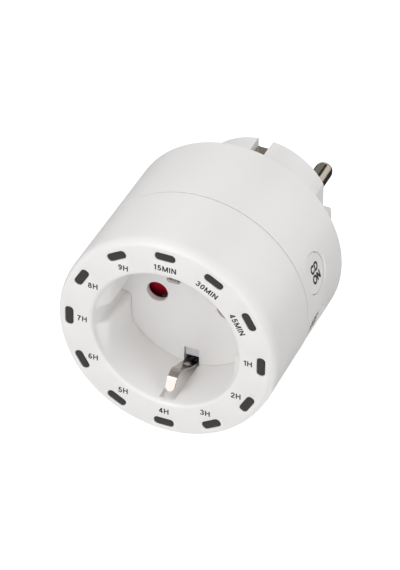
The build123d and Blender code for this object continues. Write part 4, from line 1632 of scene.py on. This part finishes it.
@dataclass
class Print(Part):
    """Thin flat print made of pen strokes."""

    @staticmethod
    def word(text: str, height: float, pen: float, spacing: float) -> list[list[Array]]:
        """Lay out a word about the origin.

        Args:
            text: What it says.
            height: Height of its characters.
            pen: Width of the pen, as a share of the height.
            spacing: Gap between characters, as a share of the height.

        Returns:
            Loops, grouped by stroke.
        """
        widths = [CHARACTERS[letter][0] for letter in text]
        total = sum(widths) + spacing * (len(text) - 1)
        starts = np.cumsum([0.0, *[width + spacing for width in widths[:-1]]]) - total / 2
        return [
            [(loop + (start, -0.5)) * height for loop in stroke.loops(pen)]
            for letter, start in zip(text, starts)
            for stroke in CHARACTERS[letter][1]
        ]

    def press(
        self, name: str, groups: list[list[Array]], spot: Spot, body: str, slot: str
    ) -> None:
        """Print loops on a place.

        Args:
            name: Name of the piece.
            groups: Loops, grouped by stroke.
            spot: Where they go.
            body: The CAD body that carries the print.
            slot: The record's material slot.
        """
        sheet = Sheet()
        sheet.joined(groups, spot.place, towards(spot.out))
        self.seat(sheet.build(name), INK, body, slot)


@dataclass
class DialLabels(Print):
    """The times printed inside the ring of windows."""

    housing: Housing
    windows: Windows

    def build(self) -> None:
        """Print every label on the front face, the minutes turned with their places."""
        w = self.windows
        for clock, text in w.labels:
            turn = math.radians(clock) if text.endswith("MIN") else 0.0
            x, z = clock_frame(clock)[0] * w.label_circle
            spot = Spot(
                np.array([x, self.housing.front + w.print_rise, z]),
                np.array([math.cos(turn), 0, -math.sin(turn)]),
                np.array([math.sin(turn), 0, math.cos(turn)]),
                np.array([0.0, -1.0, 0.0]),
            )
            groups = self.word(text, w.label_height, PEN, w.label_spacing)
            self.press("label_" + text.lower(), groups, spot, "housing", "smoked_lens")


@dataclass
class PushButtons(Print):
    """The two push buttons and the print on them."""

    buttons: Buttons

    def build(self) -> None:
        """Make both buttons, each turned about its own axis."""
        b = self.buttons
        top = quarter_round(
            (b.radius - b.edge, b.top), (b.radius, b.top - b.edge), (b.radius, b.top)
        )
        profile = [*top, (b.radius, b.flange_top), (b.flange, b.flange_top)]
        for clock, body, word in ((b.upper, "on_button", "ON"), (b.lower, "off_button", "OFF")):
            place = partial(out_at, clock=clock, station=b.station)
            outwards = from_point(place(np.zeros((1, 2)), distance=b.flange_top)[0])
            sheet = Sheet()
            sheet.loft(
                [place(circle(radius, 120), distance=distance) for radius, distance in profile],
                outwards,
            )
            rim = circle(b.radius - b.edge, 120)
            sheet.region([rim], partial(place, distance=b.top), outwards)
            self.seat(sheet.build(body + "_cap"), WHITE, body, "button_plastic", [body])
            self.print_on(clock, body, word)

    def print_on(self, clock: float, body: str, word: str) -> None:
        """Print the countdown mark and a word below it on a button.

        Args:
            clock: The button's clock angle.
            body: Its body.
            word: What the second line says.
        """
        b = self.buttons
        outward, _ = clock_frame(clock)
        out = np.array([outward[0], 0.0, outward[1]])
        right = np.array([0.0, 1.0, 0.0])
        up = np.cross(out, right)
        shift = right * b.print_shift[0] + up * b.print_shift[1]
        middle = out * (b.top + b.print_rise) + right * b.station + shift
        for text, level, name in (("CD", 1, "_mark"), (word, -1, "_word")):
            spot = Spot(middle + up * (level * b.line_offset), right, up, out)
            groups = self.word(text, b.word_height, BOLD_PEN, b.word_spacing)
            self.press(body + name, groups, spot, body, "button_plastic")


# ------------------------------------------------------------------------------ studio
@dataclass(frozen=True)
class SoftBox:
    """A rectangular studio light that looks at the object."""

    name: str
    place: Triple
    size: tuple[float, float]
    power: float


@dataclass(frozen=True)
class Card:
    """A board behind the object that only polished metal shows, as part of a ring.

    Angles are in degrees from 3 o'clock towards 12 o'clock, and shade is its brightness.
    """

    name: str
    start: float
    end: float
    shade: float


@dataclass(frozen=True)
class Studio:
    """Floor, backdrop, cards, lights and camera.

    Lengths are in metres, but for the floor's width and the cards, which are in millimetres.
    """

    aim: Triple = (0.0, -0.035, 0.0)
    world_level: float = 0.22
    floor_shade: float = 0.8
    floor_glow: float = 0.55
    floor_drop: float = 0.03
    floor_half_width: float = 3000.0
    boxes: tuple[SoftBox, ...] = (
        SoftBox("key_light", (-0.35, -0.35, 1.05), (0.9, 0.9), 6.6),
        SoftBox("fill_light", (0.9, -0.5, 0.35), (0.7, 0.9), 3.4),
        SoftBox("front_light", (-0.35, -1.05, 0.5), (1.0, 0.85), 4.1),
        SoftBox("rear_light", (0.9, 0.55, 0.35), (0.7, 0.9), 2.2),
        SoftBox("back_light", (-0.6, 0.75, 0.7), (0.9, 0.9), 2.4),
    )
    cards: tuple[Card, ...] = (
        Card("grey_card", 100.0, 245.0, 0.33),
        Card("black_card", 62.0, 98.0, 0.05),
        Card("white_card", 9.0, 60.0, 1.2),
        Card("pale_card", -34.0, 1.0, 0.75),
    )
    card_ring: Triple = (200.0, 900.0, 500.0)
    low_card: Pairs = ((-350.0, -20.0), (350.0, 450.0))
    low_card_shade: float = 0.05
    low_card_lift: float = 2.0
    lens: float = 270.4
    sensor: float = 36.0
    sight: float = 20.0
    stand: Triple = (0.32383, -0.82347, 0.65112)
    axes: tuple[Triple, Triple, Triple] = (
        (0.9204, 0.3908, 0.0110),
        (-0.2462, 0.5574, 0.7929),
        (0.3038, -0.7325, 0.6093),
    )

    def build(self) -> None:
        """Set the studio up."""
        self.backdrop()
        self.floor()
        self.reflections()
        for box in self.boxes:
            self.light(box)
        self.camera()
        bpy.context.scene.view_settings.view_transform = "Standard"

    @staticmethod
    def seen(graph: Graph) -> Wire:
        """Tell what the camera sees, directly or in metal and glass, from what only lights.

        Args:
            graph: The tree to add to.

        Returns:
            1 for a ray that is seen and 0 for one that only lights.
        """
        rays = [
            graph.node("ShaderNodeLightPath", output=name)
            for name in ("Is Camera Ray", "Is Glossy Ray", "Is Transmission Ray")
        ]
        return (rays[0] + rays[1] + rays[2]).limited(0.0, 1.0)

    def backdrop(self) -> None:
        """Make the surroundings white to look at and softly grey as a light."""
        world = bpy.data.worlds.new("backdrop")
        bpy.context.scene.world = world
        world.use_nodes = True
        graph = Graph(world.node_tree)
        white = (1.0, 1.0, 1.0, 1.0)
        lit, shown = (
            graph.node("ShaderNodeBackground", {"Color": white, "Strength": level})
            for level in (self.world_level, 1.0)
        )
        mix = graph.node("ShaderNodeMixShader", {0: self.seen(graph), 1: lit, 2: shown})
        graph.node("ShaderNodeOutputWorld", {"Surface": mix})

    def floor(self) -> None:
        """Lay a plain white floor under the object, which keeps its shadow."""
        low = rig.bounds()[0][2] - self.floor_drop
        half = self.floor_half_width
        floor = self.board("studio_floor", (-half, -half), (half, half), low / MM)
        material = bpy.data.materials.new("studio_white")
        material.use_nodes = True
        graph = Graph(material.node_tree)
        shade = (self.floor_shade, self.floor_shade, self.floor_shade, 1.0)
        matt = graph.node("ShaderNodeBsdfDiffuse", {"Color": shade})
        glow = graph.node("ShaderNodeEmission", {"Strength": self.floor_glow})
        bright = graph.node("ShaderNodeAddShader", {0: matt, 1: glow})
        mix = graph.node("ShaderNodeMixShader", {0: self.seen(graph), 1: matt, 2: bright})
        graph.node("ShaderNodeOutputMaterial", {"Surface": mix})
        floor.data.materials.append(material)
        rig.stage(floor)

    @staticmethod
    def board(
        name: str, low: Sequence[float], high: Sequence[float], z: float
    ) -> bpy.types.Object:
        """Make a level rectangle that faces up, in millimetres.

        Args:
            name: Name of the object.
            low: Its corner with the lowest (x, y).
            high: The opposite corner.
            z: Its height.

        Returns:
            The object.
        """
        sheet = Sheet()
        rows = [np.array([(x, y, z) for x in (low[0], high[0])]) for y in (low[1], high[1])]
        sheet.strip(rows, towards((0, 0, 1)))
        return sheet.build(name)

    def reflections(self) -> None:
        """Set up the cards that give the metal its light and dark stripes."""
        inner, outer, back = self.card_ring
        for card in self.cards:
            angles = np.radians([card.start, card.end])
            rows = [at_station(arc(radius, *angles, 24), back) for radius in (inner, outer)]
            sheet = Sheet()
            sheet.strip(rows, FRONTWARDS)
            self.show_in_metal(sheet.build(card.name), card.shade)
        height = (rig.bounds()[0][2] - self.floor_drop) / MM + self.low_card_lift
        self.show_in_metal(self.board("low_card", *self.low_card, height), self.low_card_shade)

    @staticmethod
    def show_in_metal(card: bpy.types.Object, shade: float) -> None:
        """Give a card its shade and hide it from everything but reflections.

        Args:
            card: The card.
            shade: Its brightness.
        """
        material = bpy.data.materials.new(card.name)
        material.use_nodes = True
        graph = Graph(material.node_tree)
        glow = graph.node("ShaderNodeEmission", {"Strength": shade})
        graph.node("ShaderNodeOutputMaterial", {"Surface": glow})
        card.data.materials.append(material)
        card.visible_camera = card.visible_diffuse = card.visible_transmission = False
        card.visible_volume_scatter = card.visible_shadow = False
        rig.stage(card)

    def light(self, box: SoftBox) -> None:
        """Add one soft light.

        Args:
            box: Its place, size and power.
        """
        data = bpy.data.lights.new(box.name, "AREA")
        data.shape = "RECTANGLE"
        data.size, data.size_y = box.size
        data.energy = box.power
        lamp = bpy.data.objects.new(box.name, data)
        lamp.location = box.place
        aim = Vector(self.aim) - Vector(box.place)
        lamp.rotation_euler = aim.to_track_quat("-Z", "Y").to_euler()
        lamp.visible_camera = False
        bpy.context.collection.objects.link(lamp)

    def camera(self) -> None:
        """Place the camera on its stand, its axes given as rows."""
        data = bpy.data.cameras.new("camera")
        data.lens = self.lens
        data.sensor_width = self.sensor
        data.sensor_fit = "AUTO"
        data.clip_end = self.sight
        camera = bpy.data.objects.new("camera", data)
        axes = Matrix(self.axes).transposed().to_4x4()
        camera.matrix_world = Matrix.Translation(self.stand) @ axes
        bpy.context.collection.objects.link(camera)
        bpy.context.scene.camera = camera


# ------------------------------------------------------------------------------ the whole
@dataclass
class TimerSwitch:
    """The dressed timer switch."""

    frame: dict
    palette: Palette = field(default_factory=Palette)
    housing: Housing = Housing()
    recess: Recess = Recess()
    nose: Nose = Nose()
    windows: Windows = Windows()
    buttons: Buttons = Buttons()
    clip: Clip = Clip()
    shutter: Shutter = Shutter()

    def paint_nodes(self) -> None:
        """Give every CAD node the finish of its material slot."""
        slots = {row["node"]: row["material_slot"] for row in self.frame["record"]["subparts"]}
        for name, node in self.frame["nodes"].items():
            material = self.palette[SLOT_FINISHES[slots[name]]]
            for place in node.material_slots:
                place.material = material

    def build(self) -> None:
        """Dress the frame."""
        self.paint_nodes()
        parts: tuple[Part, ...] = (
            FrontShell(self.palette, self.housing, self.recess, self.windows),
            SocketFloor(self.palette, self.housing, self.recess, self.shutter),
            RearShell(self.palette, self.housing, self.nose, self.buttons),
            Pins(self.palette, self.nose),
            EarthClips(self.palette, self.clip, self.housing.front),
            PushButtons(self.palette, self.buttons),
            DialLabels(self.palette, self.housing, self.windows),
        )
        for part in parts:
            part.build()


def main() -> None:
    """Build the scene and note its size beside the CAD model's."""
    logging.basicConfig(level=logging.INFO)
    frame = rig.load()
    cad_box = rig.bounds()
    TimerSwitch(frame).build()
    Studio().build()
    sizes = {
        "cad": [list(map(float, corner)) for corner in cad_box],
        "visual": [list(map(float, corner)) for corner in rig.bounds()],
    }
    Path("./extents.json").write_text(json.dumps(sizes))
    LOG.info("sizes %s", sizes)


if __name__ == "__main__":
    main()
